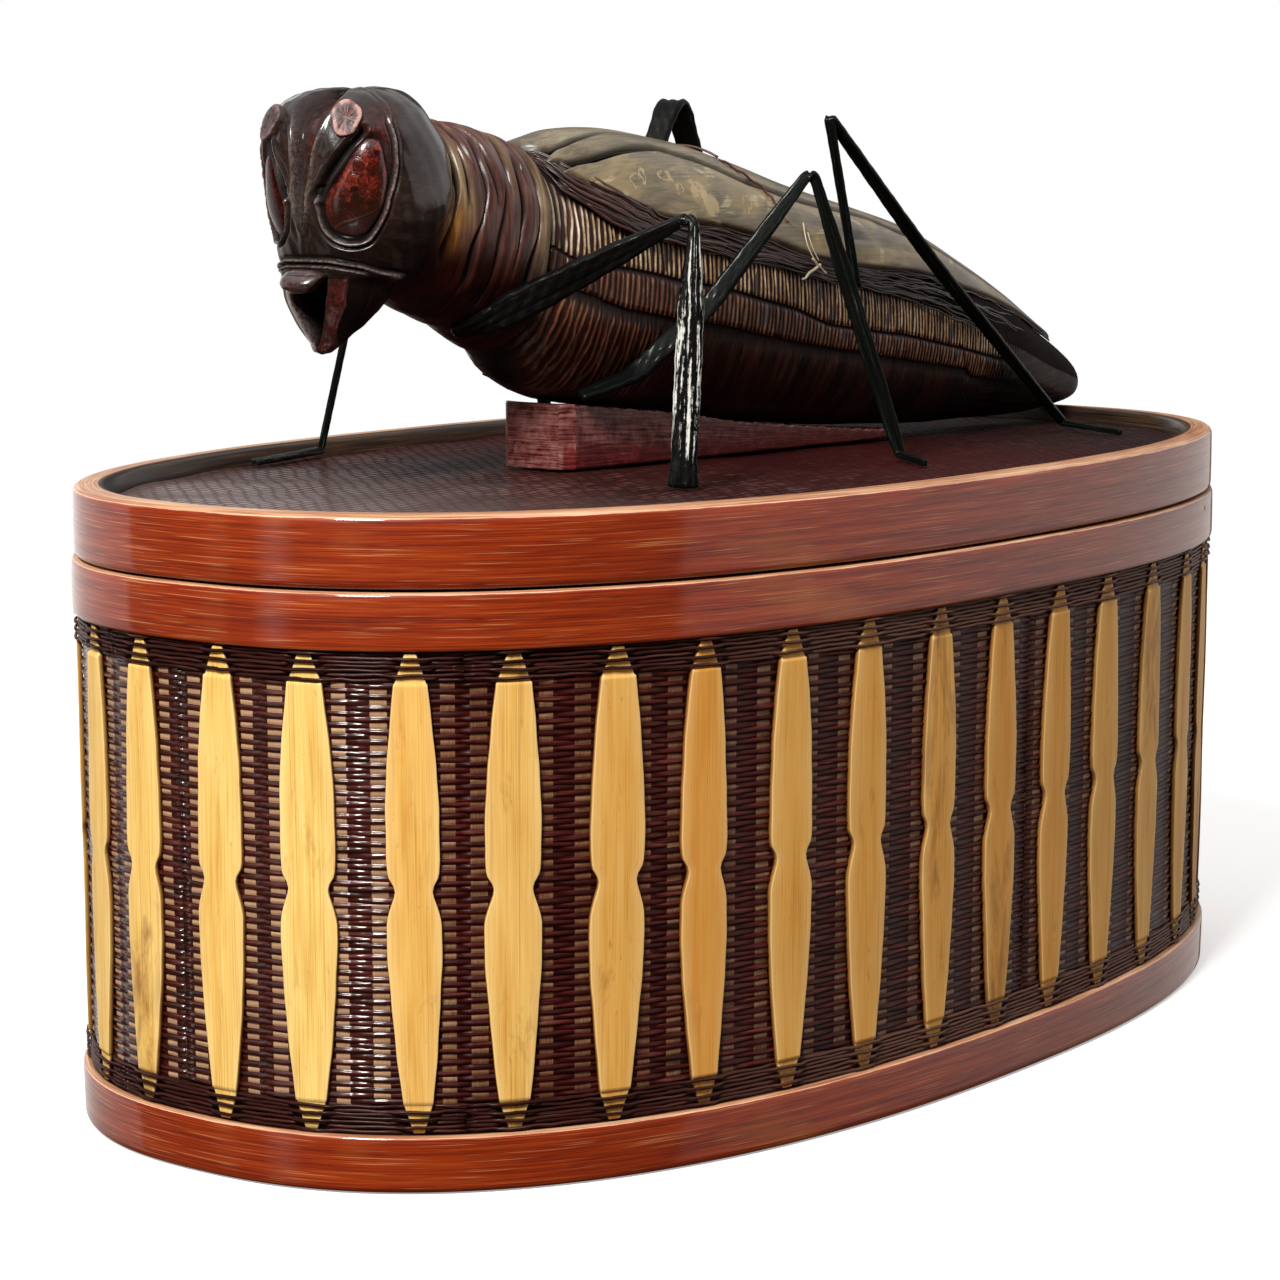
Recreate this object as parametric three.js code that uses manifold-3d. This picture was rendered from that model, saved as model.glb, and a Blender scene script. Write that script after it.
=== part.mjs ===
// Oval lidded insect box of woven bamboo, with a big grasshopper on a wedge plinth on the lid.
// Millimetres, +Z up. Origin: centre of the oval on the surface that the box stands on.
// +X runs along the oval to the tail end, the head is over the -X end.
import * as THREE from 'three';
import { mergeVertices } from 'three/addons/utils/BufferGeometryUtils.js';
import Module from 'manifold-3d';

// ---- driving dimensions
const A0 = 125, B0 = 68.1, POWER = 2.366;     // half length, half width and fullness of the oval
const SEG = 72;                               // steps round the oval
const Z_FOOT = 8.6, Z_BAND = 79.8, Z_SEAM = 88.6, Z_TOP = 99.5, Z_PANEL = 96.9;
const SLATS = 38, SLAT_Z0 = 12.6, SLAT_Z1 = 75.2;
const GAP = 0.3;
const axisY = (x) => 12.5 - 0.09 * (x + 25);    // the insect lies at a slight angle on the lid

const wasm = await Module(); wasm.setup();
const solid = (g) => {
  g = g.clone(); g.deleteAttribute('normal'); g.deleteAttribute('uv');
  g = mergeVertices(g, 1e-4);
  return new wasm.Manifold(new wasm.Mesh({ numProp: 3, vertProperties: new Float32Array(g.attributes.position.array), triVerts: new Uint32Array(g.index.array) }));
};
const toGeo = (m) => {
  const q = m.getMesh(), g = new THREE.BufferGeometry();
  g.setAttribute('position', new THREE.BufferAttribute(new Float32Array(q.vertProperties), 3));
  g.setIndex(new THREE.BufferAttribute(new Uint32Array(q.triVerts), 1));
  g.computeVertexNormals(); return g;
};
const build = (pts, tri) => {
  const g = new THREE.BufferGeometry();
  g.setAttribute('position', new THREE.BufferAttribute(new Float32Array(pts.flat()), 3));
  g.setIndex(tri.flat()); g.computeVertexNormals(); return g;
};
const oval = (t, off) => {
  const c = Math.cos(t), s = Math.sin(t), e = 2 / POWER;
  return [Math.sign(c) * Math.abs(c) ** e * (A0 + off), Math.sign(s) * Math.abs(s) ** e * (B0 + off)];
};
// evenly spaced stations along the oval
const table = (() => {
  const n = 4000, L = [0]; let p = oval(0, 0);
  for (let i = 1; i <= n; i++) { const q = oval(2 * Math.PI * i / n, 0); L.push(L[i - 1] + Math.hypot(q[0] - p[0], q[1] - p[1])); p = q; }
  return (f) => { const w = ((f % 1) + 1) % 1 * L[n]; let lo = 0, hi = n; while (hi - lo > 1) { const m = (lo + hi) >> 1; if (L[m] <= w) lo = m; else hi = m; }
    return 2 * Math.PI * (lo + (w - L[lo]) / (L[hi] - L[lo])) / n; };
})();
// a hoop: closed profile of [offset, z], counter-clockwise seen with outside to the right
const hoop = (prof, n = SEG) => {
  const P = [], T = [], m = prof.length;
  for (let i = 0; i < n; i++) { const t = table(i / n); for (const [o, z] of prof) { const [x, y] = oval(t, o); P.push([x, y, z]); } }
  for (let i = 0; i < n; i++) for (let k = 0; k < m; k++) {
    const a = i * m + k, b = ((i + 1) % n) * m + k, c = ((i + 1) % n) * m + (k + 1) % m, d = i * m + (k + 1) % m;
    T.push([a, b, c], [a, c, d]);
  }
  return build(P, T);
};
const slab = (off, z0, z1, n = SEG) => {
  const P = [[0, 0, z0], [0, 0, z1]], T = [];
  for (let i = 0; i < n; i++) { const [x, y] = oval(table(i / n), off); P.push([x, y, z0], [x, y, z1]); }
  for (let i = 0; i < n; i++) { const a = 2 + 2 * i, b = 2 + 2 * ((i + 1) % n); T.push([0, b, a], [1, a + 1, b + 1], [a, b, b + 1], [a, b + 1, a + 1]); }
  return build(P, T);
};
// rings of points joined into one closed skin, with a point at each end
const loft = (rings) => {
  const P = [], T = [], m = rings[0].length, n = rings.length;
  for (const r of rings) P.push(...r);
  for (let i = 0; i + 1 < n; i++) for (let k = 0; k < m; k++) {
    const a = i * m + k, b = i * m + (k + 1) % m, c = (i + 1) * m + (k + 1) % m, d = (i + 1) * m + k;
    T.push([a, c, b], [a, d, c]);
  }
  const mid = (r) => r.reduce((s, p) => [s[0] + p[0] / m, s[1] + p[1] / m, s[2] + p[2] / m], [0, 0, 0]);
  const s = P.length; P.push(mid(rings[0]), mid(rings[n - 1]));
  for (let k = 0; k < m; k++) { T.push([s, k, (k + 1) % m]); T.push([s + 1, (n - 1) * m + (k + 1) % m, (n - 1) * m + k]); }
  const g = build(P, T);
  // face outward
  let v = 0; const q = (i) => new THREE.Vector3(...P[i]);
  for (const [a, b, c] of T) v += q(a).dot(q(b).cross(q(c)));
  if (v < 0) return build(P, T.map(([a, b, c]) => [a, c, b]));
  return g;
};
// a flat strip bent through points: width along side, thickness across
const strip = (pts, w, t, side) => {
  const S = new THREE.Vector3(...side).normalize(), V = pts.map((p) => new THREE.Vector3(...p));
  const rings = V.map((p, i) => {
    const d = new THREE.Vector3();
    if (i > 0) d.add(p.clone().sub(V[i - 1]).normalize());
    if (i < V.length - 1) d.add(V[i + 1].clone().sub(p).normalize());
    d.normalize();
    const n = new THREE.Vector3().crossVectors(d, S).normalize(), u = new THREE.Vector3().crossVectors(n, d).normalize();
    const W = Array.isArray(w) ? w[i] : w;
    return [[1, 1], [-1, 1], [-1, -1], [1, -1]].map(([a, b]) => p.clone().addScaledVector(u, a * W / 2).addScaledVector(n, b * t / 2).toArray());
  });
  return loft(rings);
};

const group = new THREE.Group();
const put = (name, geo, color, roughness = 0.6) => {
  const m = new THREE.Mesh(geo, new THREE.MeshStandardMaterial({ color, roughness, metalness: 0 })); m.name = name; group.add(m); return m;
};
const RED = 0x9c3f1e, WEAVE = 0x3a1712, STRAW = 0xd3a355, WOOD = 0x2a130f, BLACK = 0x0d0c0b, OLIVE = 0x7a6c4a;

// ---- basket
put('foot_hoop', hoop([[-5.5, 0], [-0.4, 0], [0, 0.5], [0.2, Z_FOOT - 0.4], [-0.2, Z_FOOT], [-1.3, Z_FOOT], [-1.3, 4], [-5.5, 4]]), RED, 0.4);
put('base_panel', slab(-5.9, 0.8, 3.7), 0x6e4a2a, 0.8);
put('base_inner_hoop', hoop([[-10, 4.1], [-4.1, 4.3], [-4.1, 10], [-10, 10]]), 0x7a3a20, 0.6);
put('woven_wall', hoop([[-3.6, 4.4], [-1.7, 4.4], [-1.0, 83.7], [-3.0, 83.7]]), WEAVE, 0.5);
put('lower_wale', hoop([[-1.3, Z_FOOT + GAP], [-0.5, Z_FOOT + GAP], [-0.5, 12.2], [-1.3, 12.2]]), 0x1c100c, 0.5);
put('upper_wale', hoop([[-0.72, 75.6], [-0.1, 75.6], [-0.1, Z_BAND - GAP], [-0.68, Z_BAND - GAP]]), 0x1c100c, 0.5);
const pinAt = [-0.128, -0.085, -0.045].map((f) => table(f));
let band = solid(hoop([[-0.6, Z_BAND], [0.2, Z_BAND], [0.4, Z_BAND + 0.4], [0.4, Z_SEAM - 0.6], [0, Z_SEAM - 0.2], [-5.2, Z_SEAM - 0.2], [-5.2, 84.1], [-0.6, 84.1]]));
const pins = [];
pinAt.forEach((t) => {
  const [x, y] = oval(t, 0), [x2, y2] = oval(t + 0.002, 0), nrm = new THREE.Vector3(y2 - y, x - x2, 0).normalize();
  const mk = (r, l, out) => { const g = new THREE.CylinderGeometry(r, r, l, 12); g.applyQuaternion(new THREE.Quaternion().setFromUnitVectors(new THREE.Vector3(0, 1, 0), nrm)); g.translate(x + nrm.x * (out - l / 2), y + nrm.y * (out - l / 2), 86.2); return g; };
  band = band.subtract(solid(mk(0.95, 4.0, 2.0)));
  pins.push(mk(0.65, 1.3, 0.45));
});
put('mouth_hoop', toGeo(band), RED, 0.4);
pins.forEach((g, i) => put('hoop_pin_' + (i + 1), g, 0x2a1408, 0.6));
put('mouth_inner_hoop', hoop([[-8.6, 78], [-5.5, 78], [-5.5, 93.2], [-5.8, 93.5], [-8.6, 93.5]]), 0x7a3a20, 0.6);

// pale split-bamboo slats, hourglass outline, in four sets joined by the strip that the top wale covers
const prof = [[0, 1.6], [0.06, 3.4], [0.2, 4.3], [0.33, 4.3], [0.45, 3.2], [0.495, 2.3], [0.54, 3.2], [0.68, 4.4], [0.8, 4.1], [0.93, 3.0], [1, 2.2]];
const wallOff = (z) => -1.7 + 0.7 * (z - 4.4) / 79.3;
const slat = (f) => {
  const t = table(f), [x, y] = oval(t, 0), [xa, ya] = oval(t - 0.003, 0), [xb, yb] = oval(t + 0.003, 0);
  const T = new THREE.Vector3(xb - xa, yb - ya, 0).normalize(), N = new THREE.Vector3(T.y, -T.x, 0);
  return loft(prof.map(([u, w]) => {
    const z = SLAT_Z0 + u * (SLAT_Z1 - SLAT_Z0), o = wallOff(z);
    return [[-w, o + 0.95], [0, o + 1.25], [w, o + 0.95], [w, o + 0.32], [-w, o + 0.32]].map(([s, d]) => {
      return [x + T.x * s + N.x * d, y + T.y * s + N.y * d, z];
    });
  }));
};
const sector = (f0, f1, z0, z1, n) => {
  const rings = [];
  for (let i = 0; i <= n; i++) { const t = table(f0 + (f1 - f0) * i / n), o = wallOff((z0 + z1) / 2); rings.push([[o + 0.38, z0], [o + 0.9, z0], [o + 0.9, z1], [o + 0.38, z1]].map(([q, z]) => [...oval(t, q), z])); }
  return loft(rings);
};
const wallGuard = solid(hoop([[-8, 4], [-1.7 + 0.28, 4], [-1.0 + 0.28, 84], [-8, 84]]));
// where the slats stand, as a share of the way round; those on the front are set by hand, the rest evenly
const FRONT = [0.4590, 0.4819, 0.5076, 0.5310, 0.5562, 0.5793, 0.6045, 0.6285, 0.6544, 0.6811, 0.7093, 0.7374, 0.7652, 0.7925, 0.8229, 0.8539];
const STEP = (1 + FRONT[0] - FRONT[15]) / (SLATS - 15);
const SLAT_AT = [...Array.from({ length: 17 }, (_, k) => FRONT[15] + (k + 6) * STEP - 1), ...FRONT, ...Array.from({ length: 5 }, (_, k) => FRONT[15] + (k + 1) * STEP)];
const between = (i) => (i === 0 ? (SLAT_AT[0] + SLAT_AT[SLATS - 1] - 1) / 2 : i === SLATS ? (SLAT_AT[0] + SLAT_AT[SLATS - 1] + 1) / 2 : (SLAT_AT[i - 1] + SLAT_AT[i]) / 2);
const spans = [['slats_back_right', 0, 10], ['slats_back_left', 10, 19], ['slats_front_left', 19, 29], ['slats_front_right', 29, 38]];
for (const [name, i0, i1] of spans) {
  let s = solid(sector(between(i0) + 0.2 / SLATS, between(i1) - 0.2 / SLATS, 73.9, 75.2, 2 * (i1 - i0)));
  for (let i = i0; i < i1; i++) s = s.add(solid(slat(SLAT_AT[i])));
  put(name, toGeo(s.subtract(wallGuard)), STRAW, 0.5);
}

// ---- lid
put('lid_hoop', hoop([[-5.1, Z_SEAM + 0.1], [-0.4, Z_SEAM + 0.1], [0, Z_SEAM + 0.6], [0, Z_TOP - 1.2], [-0.5, Z_TOP - 0.3], [-1.4, Z_TOP], [-4.4, Z_TOP], [-5.1, Z_TOP - 0.5]]), RED, 0.4);
put('lid_inner_hoop', hoop([[-10, 93.9], [-5.5, 93.9], [-5.5, 94.7], [-10, 94.7]]), 0x7a3a20, 0.6);


// a round peg standing on end
const dowel = (r, z0, z1, x, y, n = 16) => { const g = new THREE.CylinderGeometry(r, r, z1 - z0, n); g.rotateX(Math.PI / 2); g.translate(x, y, (z0 + z1) / 2); return g; };
const at = (x, v, z) => [x, axisY(x) + v, z];
const NAILS = [[-8, 4], [34, -3]];
let panel = solid(slab(-5.5, 95, Z_PANEL));
for (const [x, v] of NAILS) panel = panel.subtract(solid(dowel(1.1, 94, 98, x, axisY(x) + v)));
put('lid_panel', toGeo(panel), 0x3a1c18, 0.6);

// wedge plinth under the belly, front corners taken off
const PLINTH = [[-28, 107.9, 5.8], [-26.2, 107.8, 7.5], [0, 105.0, 7.5], [16, 102.5, 7.3], [50, 99.2, 7], [64, 98.2, 6.6]];
let plinth = solid(loft(PLINTH.map(([x, zt, w]) => [at(x, -w, Z_PANEL + GAP), at(x, -w, zt), at(x, w, zt), at(x, w, Z_PANEL + GAP)])));
for (const [x, v] of NAILS) plinth = plinth.subtract(solid(dowel(1.1, 96, 99.6, x, axisY(x) + v)));
NAILS.forEach(([x, v], i) => put('plinth_nail_' + (i + 1), dowel(0.8, 95.1, 99.2, x, axisY(x) + v, 12), 0x8a6a40, 0.7));

// body sections: [x, bottom, top, half width, lean]
const section = (x, zb, zt, w, lean = 0, n = 20, p = 2.1) => {
  const r = [], cz = (zb + zt) / 2, h = (zt - zb) / 2;
  for (let i = 0; i < n; i++) {
    const t = 2 * Math.PI * i / n, c = Math.cos(t), s = Math.sin(t);
    const dz = Math.sign(s) * Math.abs(s) ** (2 / p) * h, xx = x + lean * dz;
    r.push([xx, axisY(xx) + Math.sign(c) * Math.abs(c) ** (2 / p) * w, cz + dz]);
  }
  return r;
};
const BODY = [[-36.6, 116.8, 149.3, 11.7, 0.19], [-31.5, 110.9, 150.4, 12.8, 0.15], [-25, 108.9, 151.2, 13.8, 0.08], [-15, 108.4, 151.2, 14.6, 0], [0, 106, 150, 15.2, 0], [16, 103.3, 147.2, 15.3, 0],
  [32, 101.6, 142.8, 15, 0], [50, 100.1, 138.6, 14.2, 0], [67, 99.1, 135.3, 13.2, 0], [81, 98.8, 130, 12, 0], [95, 98.7, 123.5, 10.4, 0], [107, 98.9, 116.5, 8.2, 0], [117, 99.6, 110.5, 5.8, 0], [123.5, 100.6, 106, 3.2, 0], [125.6, 101.8, 104.4, 1.4, 0]];
const PEGS = [[-19, 102, 113], [38, 97.9, 106]];
let abdomen = solid(loft(BODY.map((s) => section(...s))));
for (const [x, z0, z1] of PEGS) { abdomen = abdomen.subtract(solid(dowel(1.5, z0 - 3, z1 + 0.4, x, axisY(x)))); plinth = plinth.subtract(solid(dowel(1.5, z0 - 0.4, z1, x, axisY(x)))); }
PEGS.forEach(([x, z0, z1], i) => put('belly_peg_' + (i + 1), dowel(1.15, z0, z1, x, axisY(x)), 0x241410, 0.6));
put('plinth', toGeo(plinth), 0x561512, 0.4);
put('abdomen', toGeo(abdomen), 0x6a3418, 0.6);

// head: level sections [z, centre x, half length, half width], chin first
const HEAD = [[118.9, -76.1, 1.06, 1.06], [120.5, -75.1, 2.74, 2.86], [124, -73.7, 6.02, 6.68], [127.5, -72.6, 8.14, 9.22], [129.8, -71.9, 8.85, 10.07], [131.2, -69.7, 10.8, 12.08], [133.5, -69.1, 11.42, 12.72], [137, -68.2, 12.57, 13.99], [143, -67.5, 14.34, 15.9], [150, -68.5, 13.81, 15.26], [155, -69.8, 12.21, 13.67], [158.5, -70.1, 10.27, 12.08], [160.5, -69.5, 6.73, 8.69], [161.2, -69.1, 2.66, 3.82]];
const headLoft = (grow, n = 24) => loft(HEAD.map(([z, cx, p, q], k) => {
  const r = [], zz = z + (k === 0 ? -grow : k === HEAD.length - 1 ? grow : 0);
  for (let i = 0; i < n; i++) { const t = 2 * Math.PI * i / n, c = Math.cos(t), s = Math.sin(t), e = 2 / 2.15; r.push(at(cx + Math.sign(c) * Math.abs(c) ** e * (p + grow), Math.sign(s) * Math.abs(s) ** e * (q + grow), zz)); }
  return r;
}));
const mouth = loft([[119.5, 0.15], [130.6, 3.4]].map(([z, w]) => [at(-88, -w, z), at(-76.5, -w, z), at(-76.5, w, z), at(-88, w, z)]));
put('head', toGeo(solid(headLoft(0)).subtract(solid(mouth))), WOOD, 0.35);
const around = solid(headLoft(0.45));

// collar behind the head, hollowed to take the back of the head
const COLLAR = [[-64, 128, 151.5, 10, 0], [-60, 126, 154, 11.5, 0], [-55, 123.8, 155.3, 12.3, 0.03], [-50, 122.3, 155.4, 12.6, 0.07], [-45, 120.5, 154.8, 12.6, 0.12], [-41, 118.6, 153.4, 12.4, 0.17], [-37.4, 117.2, 151.9, 12.1, 0.19]];
put('thorax_collar', toGeo(solid(loft(COLLAR.map((s) => section(...s)))).subtract(around)), 0x4a2016, 0.5);
put('labrum', toGeo((() => { const g = new THREE.SphereGeometry(1, 14, 10); g.scale(3.2, 3.4, 1.9); g.translate(...at(-79.8, 0, 131.4)); return solid(g).subtract(around); })()), 0x6a5a34, 0.4);
for (const [n, s] of [['left', -1], ['right', 1]]) {
  const e = new THREE.SphereGeometry(1, 18, 12); e.scale(6.3, 3.4, 8.6); e.rotateY(0.2);
  const a = 0.84; e.rotateZ(s * (Math.PI / 2 - a)); e.translate(...at(-67.9 - 14.3 * 0.74, s * 16 * 0.66, 145));
  put('eye_' + n, toGeo(solid(e).subtract(around)), 0x5a1414, 0.2);
  const c = new THREE.CylinderGeometry(2.0, 2.3, 3.2, 14); c.rotateZ(0.95); c.rotateX(s * -0.25); c.translate(...at(-79.4, s * 6.9, 156.4));
  put('antenna_stub_' + n, toGeo(solid(c).subtract(around)), 0x5a2018, 0.6);
}

// wings: thin slats laid along the back over a fibre fringe. lowEdge gives the edge's angle above level
const EDGE = [[-38, 64], [-33, 52], [-23, 33], [-13, 25], [2, 21], [18, 17], [35, 15], [58, 13], [76, 10], [95, 4], [112, -10], [126, -20]];
const lerp = (T, x, k = 1) => { let j = 0; while (j < T.length - 2 && T[j + 1][0] < x) j++; const u = Math.min(1, Math.max(0, (x - T[j][0]) / (T[j + 1][0] - T[j][0]))); return T[j][k] + (T[j + 1][k] - T[j][k]) * u; };
const onBody = (x, deg, r) => {
  const zb = lerp(BODY, x, 1), zt = lerp(BODY, x, 2), w = lerp(BODY, x, 3), lean = lerp(BODY, x, 4), cz = (zb + zt) / 2, h = (zt - zb) / 2, a = deg * Math.PI / 180, c = Math.cos(a), q = Math.sin(a), e = 2 / 2.1;
  const dz = Math.sign(q) * Math.abs(q) ** e * (h + r), xx = x + lean * dz;
  return [xx, axisY(xx) + Math.sign(c) * Math.abs(c) ** e * (w + r), cz + dz];
};
const shell = (f0, f1, k, thick, x0, x1, side, n = 13, m = 4) => {
  const rings = [];
  for (let i = 0; i <= n; i++) {
    const x = x0 + (x1 - x0) * i / n, lo = lerp(EDGE, x), ring = [], deg = (f) => { const d = lo + (90 - lo) * f; return side < 0 ? 180 - d : d; };
    const pinch = Math.min(1, 0.55 + 2.5 * (n - i) / n), mid = (f0 + f1) / 2, g0 = mid + (f0 - mid) * pinch, g1 = mid + (f1 - mid) * pinch;
    for (let q = 0; q <= m; q++) ring.push(onBody(x, deg(g0 + (g1 - g0) * q / m), k + thick));
    for (let q = m; q >= 0; q--) ring.push(onBody(x, deg(g0 + (g1 - g0) * q / m), k));
    rings.push(ring);
  }
  return loft(rings);
};
put('wing_ridge', shell(0.77, 1.23, 1.0, 1.3, -33, 119, 1, 13, 6), OLIVE, 0.6);
for (const [n, s] of [['right', 1], ['left', -1]]) {
  put('wing_upper_' + n, shell(0.45, 0.735, 1.0, 1.3, -33, 117, s), OLIVE, 0.6);
  put('wing_lower_' + n, shell(0.07, 0.415, 1.0, 1.3, -32, 113, s), OLIVE, 0.6);
  put('fibre_fringe_' + n, shell(-0.17, 0.035, 0.6, 1.3, -34, 116, s, 13, 3), 0x3a1412, 0.8);
}
// cord tied over the wings
put('wing_binding', loft(Array.from({ length: 15 }, (_, i) => { const a = 38 + 104 * i / 14; return [[2.7, -0.6], [3.7, -0.6], [3.7, 0.6], [2.7, 0.6]].map(([r, dx]) => onBody(30 + 4 * Math.abs(i - 7) / 7 + dx, a, r)); })), 0x3a1412, 0.8);

// legs: flat bent strips of black-lacquered bamboo; each hip ends just clear of the body
const CAM_SIDE = [0.6, -0.8, 0];
const leg = (name, pts, side = CAM_SIDE, t = 1.2) => put(name, strip(pts.map((p) => p.slice(0, 3)), pts.map((p) => p[3]), t, side), BLACK, 0.3);
const mid = (a, b, u, w) => [0, 1, 2].map((k) => a[k] + (b[k] - a[k]) * u).concat(w);
const bent = (hip, knee, heel, toe, wu, wk, wl, wh) => {
  const k0 = mid(knee, hip, 0.045, wk), k1 = mid(knee, heel, 0.035, wk), h1 = mid(heel, knee, 0.02, wh);
  return [[...hip, wu * 0.8], mid(hip, knee, 0.5, wu), k0, [...knee.slice(0, 2), knee[2] + 0.4, wk], k1, mid(knee, heel, 0.3, wl), mid(knee, heel, 0.7, wl * 0.95), h1].concat(toe ? [[heel[0] * 0.9 + toe[0] * 0.1, heel[1] * 0.9 + toe[1] * 0.1, heel[2], wh], [...toe, wh * 0.7]] : [[...heel, wh]]);
};
const FLOOR = Z_PANEL + 0.95;
leg('front_left_leg', bent([-44.5, 9.4, 116.9], [-32.4, -24, 140.4], [-39.6, -27, FLOOR - 0.5], null, 2.9, 1.7, 3.6, 3.4));
leg('middle_left_leg', bent([-24.5, -0.6, 113], [9.7, -18, 146], [24.2, -27, FLOOR], [17.9, -36.1, FLOOR], 3, 1.9, 2.9, 2.2));
leg('hind_left_leg', bent([34.6, -11.2, 126.8], [24.6, -12, 156], [100.6, -15, FLOOR], [93.6, -31.4, FLOOR], 1.8, 1.8, 2.6, 1.9));
leg('front_right_leg', bent([-44.5, 19.4, 116.9], [-33.3, 43.5, 140.4], [-29.8, 59, FLOOR], [-50, 56, FLOOR], 2.9, 1.7, 2.4, 2), [0.8, 0.6, 0]);
leg('middle_right_leg', bent([-24.5, 25.4, 113], [9.7, 36.8, 146], [24.2, 43.2, FLOOR], [17.9, 53.4, FLOOR], 3, 1.9, 2.9, 2.2), [0.7, 0.7, 0]);
leg('hind_right_leg', bent([10.5, 28.2, 127], [30.4, 28.4, 159.2], [72, 36, FLOOR], [70, 50, FLOOR], 3.2, 1.8, 3.4, 2), [0.6, -0.8, 0]);

export default group;
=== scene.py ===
import math
import bpy
import numpy as np
from mathutils import Matrix, Vector


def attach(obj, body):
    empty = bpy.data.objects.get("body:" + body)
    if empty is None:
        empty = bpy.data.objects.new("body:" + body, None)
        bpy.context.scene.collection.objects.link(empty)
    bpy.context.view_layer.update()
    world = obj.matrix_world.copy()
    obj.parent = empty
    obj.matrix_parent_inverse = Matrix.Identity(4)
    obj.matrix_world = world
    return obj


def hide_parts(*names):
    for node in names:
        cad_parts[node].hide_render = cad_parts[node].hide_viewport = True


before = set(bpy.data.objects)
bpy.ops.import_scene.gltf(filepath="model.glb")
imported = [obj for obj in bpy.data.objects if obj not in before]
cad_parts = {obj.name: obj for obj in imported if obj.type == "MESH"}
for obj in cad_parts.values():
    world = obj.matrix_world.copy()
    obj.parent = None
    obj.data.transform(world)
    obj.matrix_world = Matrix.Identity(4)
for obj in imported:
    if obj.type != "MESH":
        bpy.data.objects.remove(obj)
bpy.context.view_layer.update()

rng = np.random.default_rng(11)
MM = 0.001
SC = bpy.context.scene
SC.view_settings.view_transform = "Standard"

# ---------------------------------------------------------------- camera
cam_data = bpy.data.cameras.new("camera")
cam = bpy.data.objects.new("camera", cam_data)
SC.collection.objects.link(cam)
fwd = Vector((0.79246, 0.59372, -0.13954)).normalized()
right = Vector((0.5996, -0.8003, 0.0)).normalized()
up = right.cross(fwd)
cam.matrix_world = Matrix(((right.x, up.x, -fwd.x, -0.50356), (right.y, up.y, -fwd.y, -0.36603), (right.z, up.z, -fwd.z, 0.15359), (0, 0, 0, 1)))
cam_data.sensor_width = 36.0
cam_data.lens = 101.69
cam_data.clip_start = 0.01
SC.camera = cam

# ---------------------------------------------------------------- light: a soft studio room and one lamp high on the left
world = bpy.data.worlds.new("world")
SC.world = world
world.use_nodes = True
wt = world.node_tree
wt.nodes.clear()


def wnode(kind, **kw):
    n = wt.nodes.new(kind)
    for k, v in kw.items():
        setattr(n, k, v)
    return n


def wmath(op, a, b=0.0):
    n = wnode("ShaderNodeMath", operation=op)
    for s, v in zip(n.inputs, (a, b)):
        if isinstance(v, (int, float)):
            s.default_value = v
        else:
            wt.links.new(v, s)
    return n.outputs[0]


def wramp(v, a, b, lo=0.0, hi=1.0):
    n = wnode("ShaderNodeMapRange")
    wt.links.new(v, n.inputs[0])
    for i, x in enumerate((a, b, lo, hi)):
        n.inputs[1 + i].default_value = x
    return n.outputs[0]


wsep = wnode("ShaderNodeSeparateXYZ")
wt.links.new(wnode("ShaderNodeTexCoord").outputs["Generated"], wsep.inputs[0])
waz = wmath("MULTIPLY", wmath("ARCTAN2", wsep.outputs[1], wsep.outputs[0]), 180 / math.pi)
wz = wsep.outputs[2]


def zone(a0, a1, soft, z0, z1, level):
    w = wmath("MULTIPLY", wramp(waz, a0, a0 + soft), wramp(waz, a1 - soft, a1, 1.0, 0.0))
    w = wmath("MULTIPLY", w, wmath("MULTIPLY", wramp(wz, z0, z0 + 0.32), wramp(wz, z1 - 0.08, z1, 1.0, 0.0)))
    return wmath("MULTIPLY", w, level)


level = wmath("ADD", zone(-79, 20.5, 2, -0.50, 0.62, 0.66), wramp(wz, -0.02, 0.03, 0.0, 0.03))
level = wmath("ADD", level, wmath("MULTIPLY", wmath("MULTIPLY", zone(24, 116, 3, -0.50, 0.45, 1.0), wramp(waz, 39, 50, 0.02, 1.15)), wramp(waz, 62, 80, 1.0, 0.75)))
level = wmath("ADD", level, zone(157, 174, 7, -0.50, 0.45, 0.9))
level = wmath("ADD", level, wramp(wz, 0.45, 0.6, 0.0, 0.75))
wupper = wnode("ShaderNodeBackground")
wupper.inputs[0].default_value = (1.0, 0.99, 0.98, 1)
wt.links.new(level, wupper.inputs[1])
wlower = wnode("ShaderNodeBackground")
wlower.inputs[0].default_value = (1.0, 0.55, 0.26, 1)
wt.links.new(wmath("ADD", wramp(wz, -0.03, 0.01, 0.13, 0.0), zone(139, 149, 3, -0.50, 0.45, 0.6)), wlower.inputs[1])
wlit = wnode("ShaderNodeAddShader")
wt.links.new(wupper.outputs[0], wlit.inputs[0])
wt.links.new(wlower.outputs[0], wlit.inputs[1])
wcam = wnode("ShaderNodeBackground")
wcam.inputs[0].default_value = (1, 1, 1, 1)
wmix = wnode("ShaderNodeMixShader")
wt.links.new(wnode("ShaderNodeLightPath").outputs["Is Camera Ray"], wmix.inputs[0])
wt.links.new(wlit.outputs[0], wmix.inputs[1])
wt.links.new(wcam.outputs[0], wmix.inputs[2])
wt.links.new(wmix.outputs[0], wnode("ShaderNodeOutputWorld").inputs[0])


def area(name, loc, target, size, power, color=(1, 1, 1)):
    d = bpy.data.lights.new(name, "AREA")
    d.shape = "RECTANGLE"
    d.size, d.size_y = size
    d.energy = power
    d.color = color
    o = bpy.data.objects.new(name, d)
    o.location = loc
    o.rotation_euler = (Vector(target) - Vector(loc)).to_track_quat("-Z", "Y").to_euler()
    SC.collection.objects.link(o)


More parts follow.
